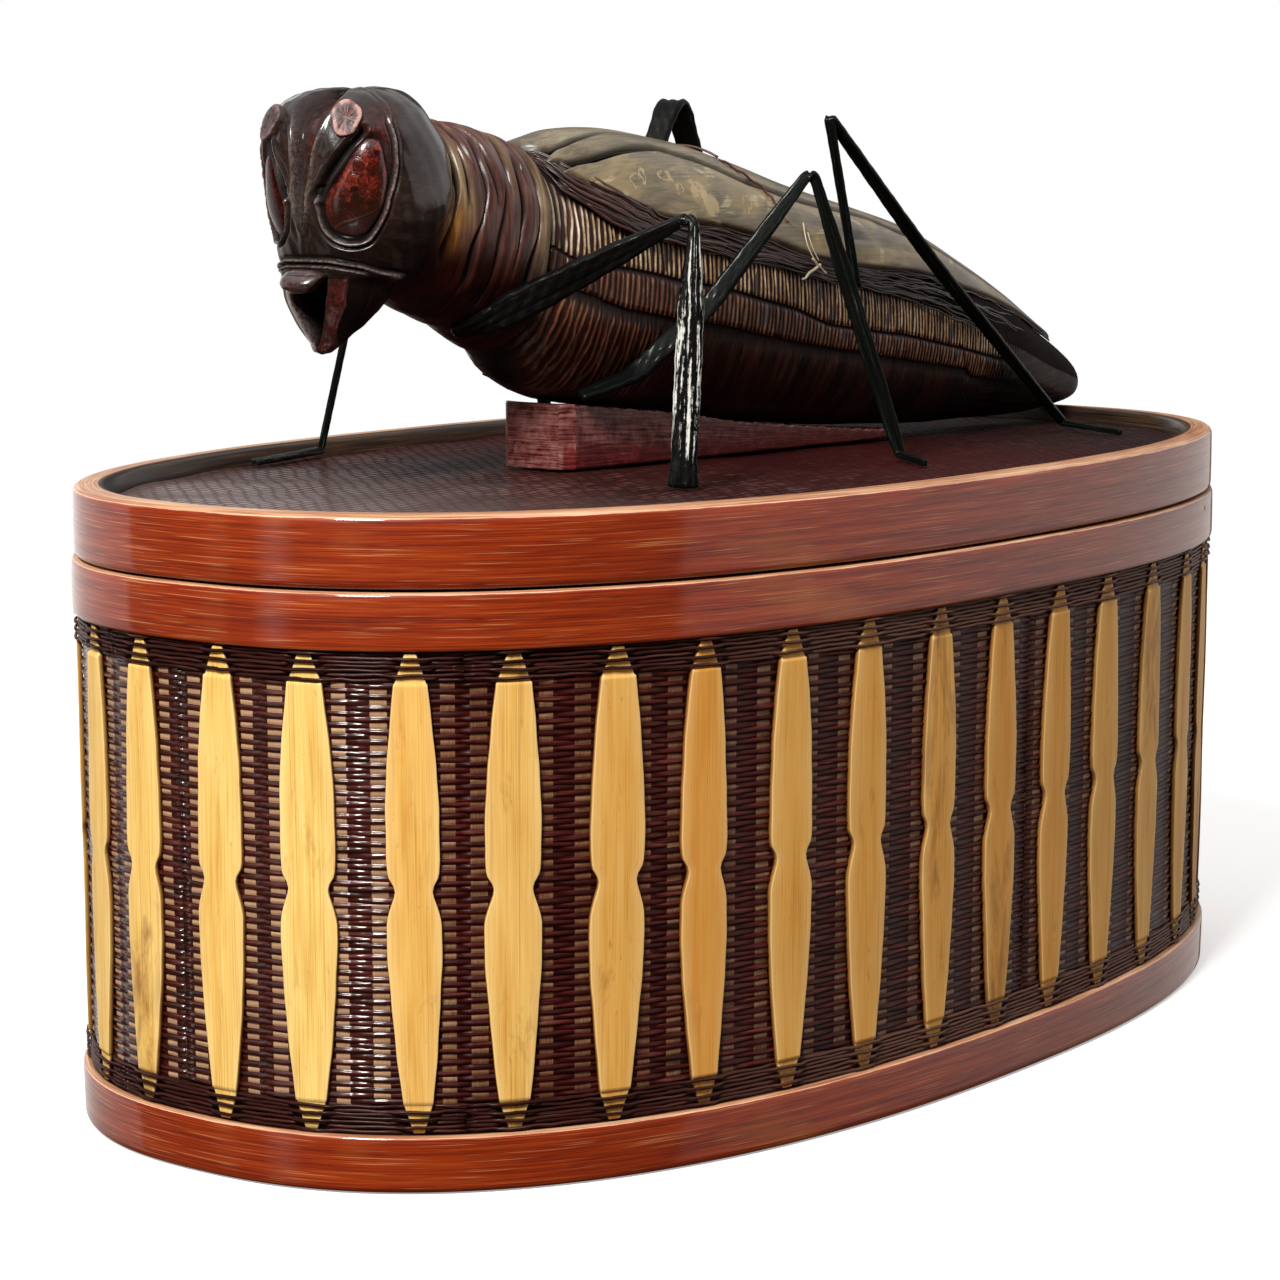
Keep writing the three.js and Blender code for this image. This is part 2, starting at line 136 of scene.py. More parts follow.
area("lamp_high_left", (-0.76, -0.20, 0.70), (0, 0, 0.08), (0.25, 0.25), 13.0, (1.0, 0.98, 0.93))


# ---------------------------------------------------------------- material graphs
class Mat:
    """A principled material; frequencies are per millimetre."""

    def __init__(self, name, **fixed):
        self.m = bpy.data.materials.new(name)
        self.m.use_nodes = True
        self.nt = self.m.node_tree
        self.b = self.nt.nodes["Principled BSDF"]
        self.tc = self.nt.nodes.new("ShaderNodeTexCoord")
        for k, v in fixed.items():
            self.b.inputs[k.replace("_", " ")].default_value = v

    def put(self, socket, v):
        if isinstance(v, (int, float)):
            socket.default_value = v
        elif isinstance(v, tuple):
            socket.default_value = (*v, 1) if len(v) == 3 and socket.type == "RGBA" else v
        else:
            self.nt.links.new(v, socket)

    def coord(self, kind, x, y=None, z=None, shift=(0, 0, 0)):
        n = self.nt.nodes.new("ShaderNodeMapping")
        y = x if y is None else y
        z = x if z is None else z
        n.inputs["Scale"].default_value = (x * 1000, y * 1000, z * 1000)
        n.inputs["Location"].default_value = shift
        self.nt.links.new(self.tc.outputs[kind], n.inputs["Vector"])
        return n.outputs[0]

    def noise(self, vec, detail=4, rough=0.55, dist=0.0):
        n = self.nt.nodes.new("ShaderNodeTexNoise")
        n.inputs["Scale"].default_value = 1.0
        n.inputs["Detail"].default_value = detail
        n.inputs["Roughness"].default_value = rough
        n.inputs["Distortion"].default_value = dist
        self.nt.links.new(vec, n.inputs["Vector"])
        return n.outputs["Fac"]

    def voronoi(self, vec, out="Distance", rnd=1.0, feature="F1"):
        n = self.nt.nodes.new("ShaderNodeTexVoronoi")
        n.feature = feature
        n.inputs["Scale"].default_value = 1.0
        n.inputs["Randomness"].default_value = rnd
        self.nt.links.new(vec, n.inputs["Vector"])
        return n.outputs[out]

    def ramp(self, fac, stops):
        n = self.nt.nodes.new("ShaderNodeValToRGB")
        el = n.color_ramp.elements
        while len(el) < len(stops):
            el.new(0.5)
        for e, (p, c) in zip(el, stops):
            e.position = p
            e.color = (*c, 1) if isinstance(c, tuple) else (c, c, c, 1)
        self.put(n.inputs["Fac"], fac)
        return n.outputs["Color"]

    def range(self, v, a, b, lo=0.0, hi=1.0):
        n = self.nt.nodes.new("ShaderNodeMapRange")
        self.put(n.inputs[0], v)
        for i, x in enumerate((a, b, lo, hi)):
            n.inputs[1 + i].default_value = x
        return n.outputs[0]

    def math(self, op, a, b=0.0):
        n = self.nt.nodes.new("ShaderNodeMath")
        n.operation = op
        self.put(n.inputs[0], a)
        self.put(n.inputs[1], b)
        return n.outputs[0]

    def add(self, *v):
        """Weighted sum of (value, weight) pairs."""
        out = None
        for s, w in v:
            t = self.math("MULTIPLY", s, w)
            out = t if out is None else self.math("ADD", out, t)
        return out

    def mix(self, fac, a, b, mode="MIX"):
        n = self.nt.nodes.new("ShaderNodeMix")
        n.data_type = "RGBA"
        n.blend_type = mode
        self.put(n.inputs[0], fac)
        self.put(n.inputs[6], a)
        self.put(n.inputs[7], b)
        return n.outputs[2]

    def blend(self, fac, a, b):
        n = self.nt.nodes.new("ShaderNodeMix")
        n.data_type = "FLOAT"
        self.put(n.inputs[0], fac)
        self.put(n.inputs[2], a)
        self.put(n.inputs[3], b)
        return n.outputs[0]

    def attr(self, name):
        n = self.nt.nodes.new("ShaderNodeAttribute")
        n.attribute_name = name
        return n.outputs["Fac"]

    def near(self, p):
        n = self.nt.nodes.new("ShaderNodeVectorMath")
        n.operation = "DISTANCE"
        self.nt.links.new(self.tc.outputs["Object"], n.inputs[0])
        n.inputs[1].default_value = tuple(c * MM for c in p)
        return n.outputs["Value"]

    def axis(self, k, kind="Object"):
        n = self.nt.nodes.new("ShaderNodeSeparateXYZ")
        self.nt.links.new(self.tc.outputs[kind], n.inputs[0])
        return n.outputs[k]

    def bump(self, height, mm, normal=None):
        n = self.nt.nodes.new("ShaderNodeBump")
        n.inputs["Strength"].default_value = 1.0
        n.inputs["Distance"].default_value = mm * MM
        self.nt.links.new(height, n.inputs["Height"])
        if normal is not None:
            self.nt.links.new(normal, n.inputs["Normal"])
        return n.outputs[0]

    def done(self, color, rough=None, normal=None):
        self.put(self.b.inputs["Base Color"], color)
        if rough is not None:
            self.put(self.b.inputs["Roughness"], rough)
        if normal is not None:
            self.nt.links.new(normal, self.b.inputs["Normal"])
        return self.m


def make_stained():
    s = Mat("stained_bamboo", Coat_Weight=0.75, Coat_Roughness=0.07, Specular_IOR_Level=0.2)
    fine = s.noise(s.coord("UV", 0.045, 3.4, 1), 3, 0.6)
    hair = s.noise(s.coord("UV", 0.12, 9.0, 1), 2, 0.5)
    wide = s.noise(s.coord("UV", 0.016, 0.7, 1), 4, 0.62, 0.25)
    patch = s.noise(s.coord("UV", 0.020, 0.05, 1), 3, 0.5)
    f = s.add((fine, 0.42), (wide, 0.40), (hair, 0.18))
    col = s.ramp(f, [(0.36, (0.070, 0.005, 0.0012)), (0.44, (0.17, 0.013, 0.0022)), (0.52, (0.265, 0.027, 0.0035)), (0.60, (0.345, 0.050, 0.007)), (0.70, (0.50, 0.13, 0.040))])
    col = s.mix(s.range(patch, 0.60, 0.72, 0.0, 0.40), col, (0.50, 0.17, 0.035))
    col = s.mix(s.range(patch, 0.42, 0.30, 0.0, 0.42), col, (0.17, 0.016, 0.004))
    dash = s.range(s.noise(s.coord("UV", 0.07, 4.2, 1, (3, 7, 0)), 2, 0.4), 0.61, 0.70, 0.0, 0.45)
    col = s.mix(dash, col, (0.62, 0.30, 0.13))
    dim = s.range(s.noise(s.coord("UV", 0.05, 3.6, 1, (8, 2, 0)), 2, 0.4), 0.60, 0.70, 0.0, 0.6)
    col = s.mix(dim, col, (0.085, 0.008, 0.003))
    knot = s.voronoi(s.coord("UV", 0.030, 0.055, 1, (0.3, 0.1, 0)))
    col = s.mix(s.range(knot, 0.020, 0.010, 0.0, 0.75), col, (0.06, 0.008, 0.004))
    chip = s.add((s.attr("edge"), 1.0), (s.noise(s.coord("UV", 0.16, 1.2, 1), 4, 0.65), 0.9), (patch, 0.35))
    col = s.mix(s.range(chip, 1.22, 1.42, 0.0, 0.92), col, s.ramp(fine, [(0.4, (0.62, 0.27, 0.13)), (0.55, (0.82, 0.50, 0.32))]))
    return s.done(col, s.range(f, 0.35, 0.65, 0.48, 0.34), s.bump(s.add((fine, 0.6), (hair, 0.5)), 0.05))


def make_rim():
    s = Mat("pale_rim", Coat_Weight=0.25, Coat_Roughness=0.2, Specular_IOR_Level=0.4)
    fine = s.noise(s.coord("UV", 0.06, 2.6, 1), 4, 0.6)
    big = s.noise(s.coord("UV", 0.03, 0.3, 1), 3, 0.6)
    col = s.ramp(s.add((fine, 0.6), (big, 0.4)), [(0.36, (0.24, 0.075, 0.03)), (0.47, (0.42, 0.18, 0.085)), (0.57, (0.60, 0.34, 0.19)), (0.7, (0.80, 0.58, 0.38))])
    return s.done(col, s.range(fine, 0.3, 0.7, 0.6, 0.4), s.bump(fine, 0.06))


def make_slat():
    s = Mat("slat_bamboo", Coat_Weight=0.07, Coat_Roughness=0.2, Specular_IOR_Level=0.07)
    fib = s.noise(s.coord("UV", 4.2, 0.035, 1), 3, 0.65)
    hair = s.noise(s.coord("UV", 11.0, 0.10, 1), 2, 0.5)
    soft = s.noise(s.coord("UV", 0.35, 0.045, 1), 3, 0.5)
    f = s.add((fib, 0.45), (hair, 0.2), (soft, 0.35))
    col = s.ramp(f, [(0.34, (0.50, 0.25, 0.050)), (0.44, (0.73, 0.46, 0.12)), (0.53, (0.87, 0.61, 0.19)), (0.64, (0.95, 0.74, 0.29))])
    # Per-slat tone: random, plus a deeper orange on the slats from the middle of the front round to the right, which is
    # partly painted shade.
    tone = s.attr("tone")
    col = s.mix(s.range(tone, 0.0, 1.0, 0.0, 0.9), col, (0.66, 0.245, 0.028))
    blot = s.add((s.noise(s.coord("UV", 0.22, 0.06, 1), 4, 0.7, 0.6), 1.0), (s.attr("stain"), 0.30))
    col = s.mix(s.range(blot, 0.60, 0.82, 0.0, 0.75), col, (0.26, 0.105, 0.025))
    col = s.mix(s.range(s.noise(s.coord("UV", 1.2, 0.22, 1), 5, 0.75), 0.62, 0.72, 0.0, 0.6), col, (0.24, 0.105, 0.026))
    col = s.mix(s.range(s.noise(s.coord("UV", 2.6, 0.014, 1), 2, 0.5), 0.60, 0.68, 0.0, 0.45), col, (0.46, 0.23, 0.06))
    # Painted highlight: the edge bevels are mixed towards pale gold. Painted shade: the side faces are mixed towards
    # dark brown.
    col = s.mix(s.math("MULTIPLY", s.attr("edge"), 0.55), col, (0.90, 0.68, 0.33))
    col = s.mix(s.attr("side"), col, (0.16, 0.065, 0.02))
    return s.done(col, s.range(f, 0.3, 0.7, 0.55, 0.38), s.bump(s.add((fib, 0.7), (hair, 0.4)), 0.045))


def greyer(s, col, amount, tone=(0.115, 0.078, 0.062)):
    """Painted sheen: mixes the front of the right end towards a duller, browner grey."""
    x = s.range(s.axis(0), 0.015, 0.10)
    y = s.range(s.axis(1), 0.02, -0.05)
    return s.mix(s.math("MULTIPLY", s.math("MULTIPLY", x, y), amount), col, tone)


def make_weft():
    s = Mat("maroon_weft", Coat_Weight=0.25, Coat_Roughness=0.12, Specular_IOR_Level=0.12)
    seg = s.noise(s.coord("UV", 0.10, 1.2, 1), 2, 0.5)
    fib = s.noise(s.coord("UV", 0.22, 9.0, 1), 3, 0.6)
    big = s.noise(s.coord("UV", 0.03, 0.03, 1), 3, 0.6)
    f = s.add((seg, 0.5), (fib, 0.3), (big, 0.2))
    col = s.ramp(f, [(0.38, (0.010, 0.0011, 0.0009)), (0.49, (0.032, 0.0026, 0.0020)), (0.57, (0.060, 0.0068, 0.0050)), (0.68, (0.15, 0.042, 0.031))])
    # Pale wear and painted highlight on the strand tops; painted shade in the valleys between rows.
    wear_and_highlight = s.add((s.attr("crest"), 0.55), (fib, 0.5), (seg, 0.45))
    col = s.mix(s.range(wear_and_highlight, 1.06, 1.2, 0.0, 0.5), col, (0.26, 0.12, 0.09))
    col = s.mix(s.range(s.attr("crest"), 0.30, 0.0, 0.0, 0.75), col, (0.006, 0.002, 0.002))
    s.put(s.b.inputs["Coat Weight"], s.range(s.axis(0), -0.117, -0.111, 1.0, 0.12))
    return s.done(col, s.range(fib, 0.3, 0.7, 0.30, 0.5), s.bump(fib, 0.05))


def make_stake():
    s = Mat("stake_bamboo", Coat_Weight=0.2, Coat_Roughness=0.25, Specular_IOR_Level=0.4)
    fib = s.noise(s.coord("UV", 5.0, 0.4, 1), 3, 0.6)
    seg = s.noise(s.coord("UV", 0.12, 0.55, 1), 3, 0.6)
    big = s.noise(s.coord("UV", 0.035, 0.05, 1), 3, 0.5)
    f = s.add((fib, 0.35), (seg, 0.4), (big, 0.25))
    col = s.ramp(f, [(0.36, (0.080, 0.026, 0.012)), (0.47, (0.20, 0.090, 0.042)), (0.57, (0.36, 0.20, 0.10)), (0.68, (0.56, 0.38, 0.22))])
    # Darker except at the far left end, most strongly just right of it. The far left end is paler as painted light.
    # Painted shade in the dark lines between rows.
    col = s.mix(s.math("MULTIPLY", s.range(s.axis(0), -0.115, -0.107, 0.0, 0.48), s.range(s.axis(0), -0.07, -0.03, 1.0, 0.25)), col, (0.10, 0.022, 0.010))
    col = s.mix(s.range(s.axis(0), -0.112, -0.118, 0.0, 0.5), col, (0.58, 0.36, 0.22))
    col = s.mix(s.range(s.attr("crest"), 0.34, 0.0, 0.0, 0.8), col, (0.03, 0.010, 0.006))
    return s.done(col, 0.5, s.bump(fib, 0.05))


def make_wale():
    s = Mat("wale_strand", Coat_Weight=0.14, Coat_Roughness=0.17, Specular_IOR_Level=0.08)
    fib = s.noise(s.coord("UV", 0.10, 5.0, 1), 4, 0.6)
    seg = s.noise(s.coord("UV", 0.05, 0.9, 1), 3, 0.6)
    f = s.add((fib, 0.5), (seg, 0.5))
    col = s.ramp(f, [(0.36, (0.006, 0.0015, 0.0013)), (0.48, (0.024, 0.0042, 0.0034)), (0.58, (0.058, 0.016, 0.012)), (0.70, (0.16, 0.080, 0.056))])
    col = s.mix(s.range(s.axis(0), -0.085, -0.04, 0.0, 0.5), col, (0.17, 0.080, 0.056))
    return s.done(col, s.range(fib, 0.3, 0.7, 0.4, 0.6), s.bump(fib, 0.06))


def make_inner():
    s = Mat("inner_bamboo", Specular_IOR_Level=0.35)
    n = s.noise(s.coord("Object", 0.06, 0.06, 1.6), 5, 0.6)
    w = s.noise(s.coord("Object", 0.02, 0.02, 0.1), 3, 0.5)
    col = s.ramp(s.add((n, 0.6), (w, 0.4)), [(0.36, (0.050, 0.026, 0.012)), (0.48, (0.11, 0.060, 0.026)), (0.58, (0.18, 0.105, 0.045)), (0.7, (0.26, 0.165, 0.075))])
    return s.done(col, s.range(n, 0.3, 0.7, 0.5, 0.7), s.bump(n, 0.10))


def make_inner_weave():
    s = Mat("inner_weave", Specular_IOR_Level=0.25)
    fib = s.noise(s.coord("UV", 0.25, 3.0, 1), 4, 0.6)
    big = s.noise(s.coord("UV", 0.03, 0.05, 1), 4, 0.55)
    br = s.nt.nodes.new("ShaderNodeTexBrick")
    br.inputs["Scale"].default_value = 1.0
    br.inputs["Mortar Size"].default_value = 0.22
    br.inputs["Mortar Smooth"].default_value = 0.7
    br.inputs["Brick Width"].default_value = 4.4
    br.inputs["Row Height"].default_value = 1.66
    br.inputs["Color1"].default_value = (0, 0, 0, 1)
    br.inputs["Color2"].default_value = (1, 1, 1, 1)
    br.inputs["Mortar"].default_value = (0.3, 0.3, 0.3, 1)
    s.nt.links.new(s.coord("UV", 1.0), br.inputs["Vector"])
    cell, seam = br.outputs["Color"], br.outputs["Fac"]
    col = s.ramp(s.add((fib, 0.45), (cell, 0.20), (big, 0.35)), [(0.30, (0.040, 0.020, 0.010)), (0.44, (0.10, 0.055, 0.025)), (0.56, (0.17, 0.100, 0.045)), (0.70, (0.26, 0.165, 0.080))])
    col = s.mix(s.math("MULTIPLY", seam, 0.9), col, (0.012, 0.006, 0.003))
    return s.done(col, s.range(fib, 0.3, 0.7, 0.5, 0.7), s.bump(s.add((seam, -1.0), (fib, 0.25)), 0.30))


def make_rim_inside():
    s = Mat("rim_inside", Coat_Weight=0.3, Coat_Roughness=0.2, Specular_IOR_Level=0.3)
    n = s.noise(s.coord("UV", 0.05, 2.4, 1), 4, 0.6)
    w = s.noise(s.coord("UV", 0.02, 0.2, 1), 3, 0.5)
    col = s.ramp(s.add((n, 0.6), (w, 0.4)), [(0.36, (0.008, 0.003, 0.0015)), (0.48, (0.022, 0.009, 0.004)), (0.58, (0.060, 0.028, 0.011)), (0.7, (0.18, 0.10, 0.04))])
    return s.done(col, s.range(n, 0.3, 0.7, 0.4, 0.6), s.bump(n, 0.06))


def make_matting():
    s = Mat("lid_matting", Coat_Weight=0.3, Coat_Roughness=0.2, Specular_IOR_Level=0.10)
    fib = s.noise(s.coord("Object", 0.35, 2.4, 1), 4, 0.6)
    big = s.noise(s.coord("Object", 0.03, 0.03, 1), 3, 0.55)
    bent = s.nt.nodes.new("ShaderNodeVectorMath")
    bent.operation = "ADD"
    s.nt.links.new(s.coord("Object", 1.0), bent.inputs[0])
    wander = s.nt.nodes.new("ShaderNodeVectorMath")
    wander.operation = "SCALE"
    wander.inputs[3].default_value = 2.2
    wn = s.nt.nodes.new("ShaderNodeTexNoise")
    wn.inputs["Scale"].default_value = 1.0
    wn.inputs["Detail"].default_value = 2
    s.nt.links.new(s.coord("Object", 0.09), wn.inputs["Vector"])
    s.nt.links.new(wn.outputs["Color"], wander.inputs[0])
    s.nt.links.new(wander.outputs[0], bent.inputs[1])
    br = s.nt.nodes.new("ShaderNodeTexBrick")
    br.inputs["Scale"].default_value = 1.0
    br.inputs["Mortar Size"].default_value = 0.34
    br.inputs["Mortar Smooth"].default_value = 0.7
    br.inputs["Brick Width"].default_value = 3.1
    br.inputs["Row Height"].default_value = 1.75
    br.inputs["Color1"].default_value = (0, 0, 0, 1)
    br.inputs["Color2"].default_value = (1, 1, 1, 1)
    br.inputs["Mortar"].default_value = (0.3, 0.3, 0.3, 1)
    s.nt.links.new(bent.outputs[0], br.inputs["Vector"])
    cell, seam = br.outputs["Color"], br.outputs["Fac"]
    f = s.add((fib, 0.45), (cell, 0.22), (big, 0.33))
    col = s.ramp(f, [(0.30, (0.016, 0.003, 0.0025)), (0.45, (0.040, 0.008, 0.006)), (0.58, (0.085, 0.028, 0.024)), (0.72, (0.19, 0.10, 0.09))])
    col = s.mix(s.math("MULTIPLY", seam, 0.93), col, (0.004, 0.0015, 0.0015))
    redder = s.math("MULTIPLY", s.range(s.axis(0), -0.05, 0.01), s.range(s.axis(0), 0.09, 0.06))
    col = s.mix(s.math("MULTIPLY", redder, 0.85), col, (0.042, 0.0035, 0.0025))
    # Painted shade: darker towards the right end, under the insect. Painted reflection: paler mauve towards the left
    # end.
    col = s.mix(s.range(s.axis(0), 0.035, 0.085, 0.0, 0.72), col, (0.014, 0.0035, 0.0028))
    col = s.mix(s.range(s.axis(0), -0.045, -0.095, 0.0, 0.45), col, (0.21, 0.13, 0.12))
    s.put(s.b.inputs["Coat Weight"], s.math("MULTIPLY", s.range(seam, 0.0, 0.6, 1.0, 0.0), s.range(s.axis(0), -0.09, 0.0, 0.85, 0.05)))
    return s.done(col, s.blend(seam, s.range(fib, 0.3, 0.7, 0.36, 0.55), 0.95), s.bump(s.add((seam, -1.0), (fib, 0.22), (cell, 0.15)), 0.42))


def make_lacquer():
    s = Mat("red_lacquer", Coat_Weight=0.18, Coat_Roughness=0.2, Specular_IOR_Level=0.2)
    brush = s.noise(s.coord("UV", 0.12, 3.0, 1), 4, 0.62)
    diag = s.noise(s.coord("UV", 0.5, 0.5, 1), 5, 0.65, 0.6)
    f = s.add((brush, 0.6), (diag, 0.4))
    col = s.ramp(f, [(0.36, (0.035, 0.002, 0.002)), (0.48, (0.085, 0.006, 0.005)), (0.57, (0.15, 0.018, 0.015)), (0.68, (0.27, 0.080, 0.068))])
    top = s.math("MULTIPLY", s.attr("wear_and_highlight"), s.range(f, 0.42, 0.60))
    col = s.mix(s.math("MULTIPLY", top, 0.55), col, (0.36, 0.19, 0.17))
    chip = s.add((s.attr("edge"), 1.0), (s.noise(s.coord("UV", 0.5, 0.5, 1), 4, 0.7), 0.9))
    col = s.mix(s.range(chip, 1.35, 1.5, 0.0, 0.8), col, (0.52, 0.27, 0.24))
    return s.done(col, s.range(f, 0.35, 0.65, 0.36, 0.58), s.bump(s.add((brush, 0.7), (diag, 0.5)), 0.12))


def make_head():
    s = Mat("carved_wood", Coat_Weight=0.85, Coat_Roughness=0.12, Specular_IOR_Level=0.25)
    grain = s.noise(s.coord("Object", 0.30, 0.9, 0.9), 5, 0.62, 0.5)
    blot = s.noise(s.coord("Object", 0.14), 4, 0.6, 0.4)
    fine = s.noise(s.coord("Object", 1.8), 4, 0.65)
    f = s.add((grain, 0.4), (blot, 0.4), (fine, 0.2))
    col = s.ramp(f, [(0.36, (0.005, 0.0025, 0.002)), (0.48, (0.013, 0.0065, 0.0055)), (0.58, (0.028, 0.016, 0.0135)), (0.70, (0.065, 0.038, 0.031))])
    red = s.ramp(s.add((grain, 0.5), (fine, 0.5)), [(0.36, (0.010, 0.001, 0.0008)), (0.5, (0.036, 0.003, 0.0022)), (0.62, (0.095, 0.011, 0.008))])
    col = s.mix(s.attr("red"), col, red)
    # Painted shade on the lower head; painted highlight on the ridges, the eye bead and the mouth bands; painted shade
    # in the grooves, channel, mouth and jaw sides.
    col = s.mix(s.math("MULTIPLY", s.attr("low"), 0.8), col, (0.0025, 0.0007, 0.0005))
    col = s.mix(s.math("MULTIPLY", s.attr("wear_and_highlight"), s.range(fine, 0.40, 0.58, 0.2, 0.9)), col, (0.40, 0.30, 0.28))
    col = s.mix(s.attr("dark"), col, (0.0015, 0.001, 0.001))
    s.put(s.b.inputs["Coat Weight"], s.math("MULTIPLY", s.range(s.attr("dark"), 0.1, 0.9, 0.9, 0.0), s.range(s.add((s.attr("low"), 0.85), (s.attr("red"), 0.2)), 0.0, 1.0, 1.0, 0.12)))
    s.put(s.b.inputs["Specular IOR Level"], s.blend(s.attr("low"), 0.25, 0.07))
    return s.done(col, s.blend(s.attr("dark"), s.range(f, 0.35, 0.65, 0.30, 0.46), 0.95), s.bump(s.add((grain, 0.6), (fine, 0.5)), 0.10))


def make_eye(name="eye_lacquer", coat=1.0, spec=0.5):
    s = Mat(name, Coat_Weight=coat, Coat_Roughness=0.07, Specular_IOR_Level=spec)
    spots = s.noise(s.coord("Object", 0.85), 4, 0.68, 0.8)
    wide = s.noise(s.coord("Object", 0.22), 3, 0.5)
    f = s.add((spots, 0.62), (wide, 0.38), (s.attr("up"), 0.11))
    col = s.ramp(f, [(0.46, (0.010, 0.0008, 0.0006)), (0.54, (0.045, 0.0025, 0.0015)), (0.62, (0.15, 0.012, 0.005)), (0.70, (0.33, 0.055, 0.014)), (0.80, (0.52, 0.16, 0.05))])
    # Darker towards the bottom and the rim of the ball; on the far eye, whose up is scaled down, this is painted shade.
    col = s.mix(s.range(s.attr("up"), 0.38, 0.03, 0.0, 0.85), col, (0.016, 0.0010, 0.0007))
    return s.done(col, s.range(spots, 0.3, 0.7, 0.15, 0.35), s.bump(spots, 0.12))


def make_collar():
    s = Mat("collar_wood", Coat_Weight=0.6, Coat_Roughness=0.2, Specular_IOR_Level=0.15)
    lines = s.noise(s.coord("UV", 1.6, 0.06, 1), 4, 0.6, 0.4)
    blot = s.noise(s.coord("Object", 0.12), 4, 0.6, 0.5)
    f = s.add((lines, 0.6), (blot, 0.4))
    col = s.ramp(f, [(0.36, (0.024, 0.005, 0.0038)), (0.48, (0.064, 0.020, 0.015)), (0.58, (0.12, 0.048, 0.036)), (0.70, (0.21, 0.115, 0.085))])
    olive = s.ramp(f, [(0.38, (0.11, 0.066, 0.026)), (0.52, (0.215, 0.150, 0.068)), (0.66, (0.36, 0.27, 0.14))])
    amber = s.ramp(f, [(0.38, (0.14, 0.042, 0.008)), (0.52, (0.31, 0.120, 0.020)), (0.66, (0.50, 0.24, 0.055))])
    col = s.mix(s.attr("olive"), col, olive)
    col = s.mix(s.attr("amber"), col, amber)
    # Painted shade: the underside and the ring grooves are mixed towards near-black.
    low = s.ramp(f, [(0.36, (0.006, 0.001, 0.0007)), (0.5, (0.022, 0.0028, 0.0018)), (0.66, (0.06, 0.010, 0.006))])
    col = s.mix(s.attr("under"), col, low)
    col = s.mix(s.attr("dark"), col, (0.005, 0.0022, 0.002))
    s.put(s.b.inputs["Coat Weight"], s.math("MULTIPLY", s.range(s.attr("dark"), 0.1, 0.9, 0.42, 0.0), s.range(s.attr("under"), 0.0, 1.0, 1.0, 0.12)))
    return s.done(col, s.blend(s.attr("dark"), s.range(f, 0.35, 0.65, 0.34, 0.5), 0.95), s.bump(s.add((lines, 0.6), (blot, 0.4)), 0.10))


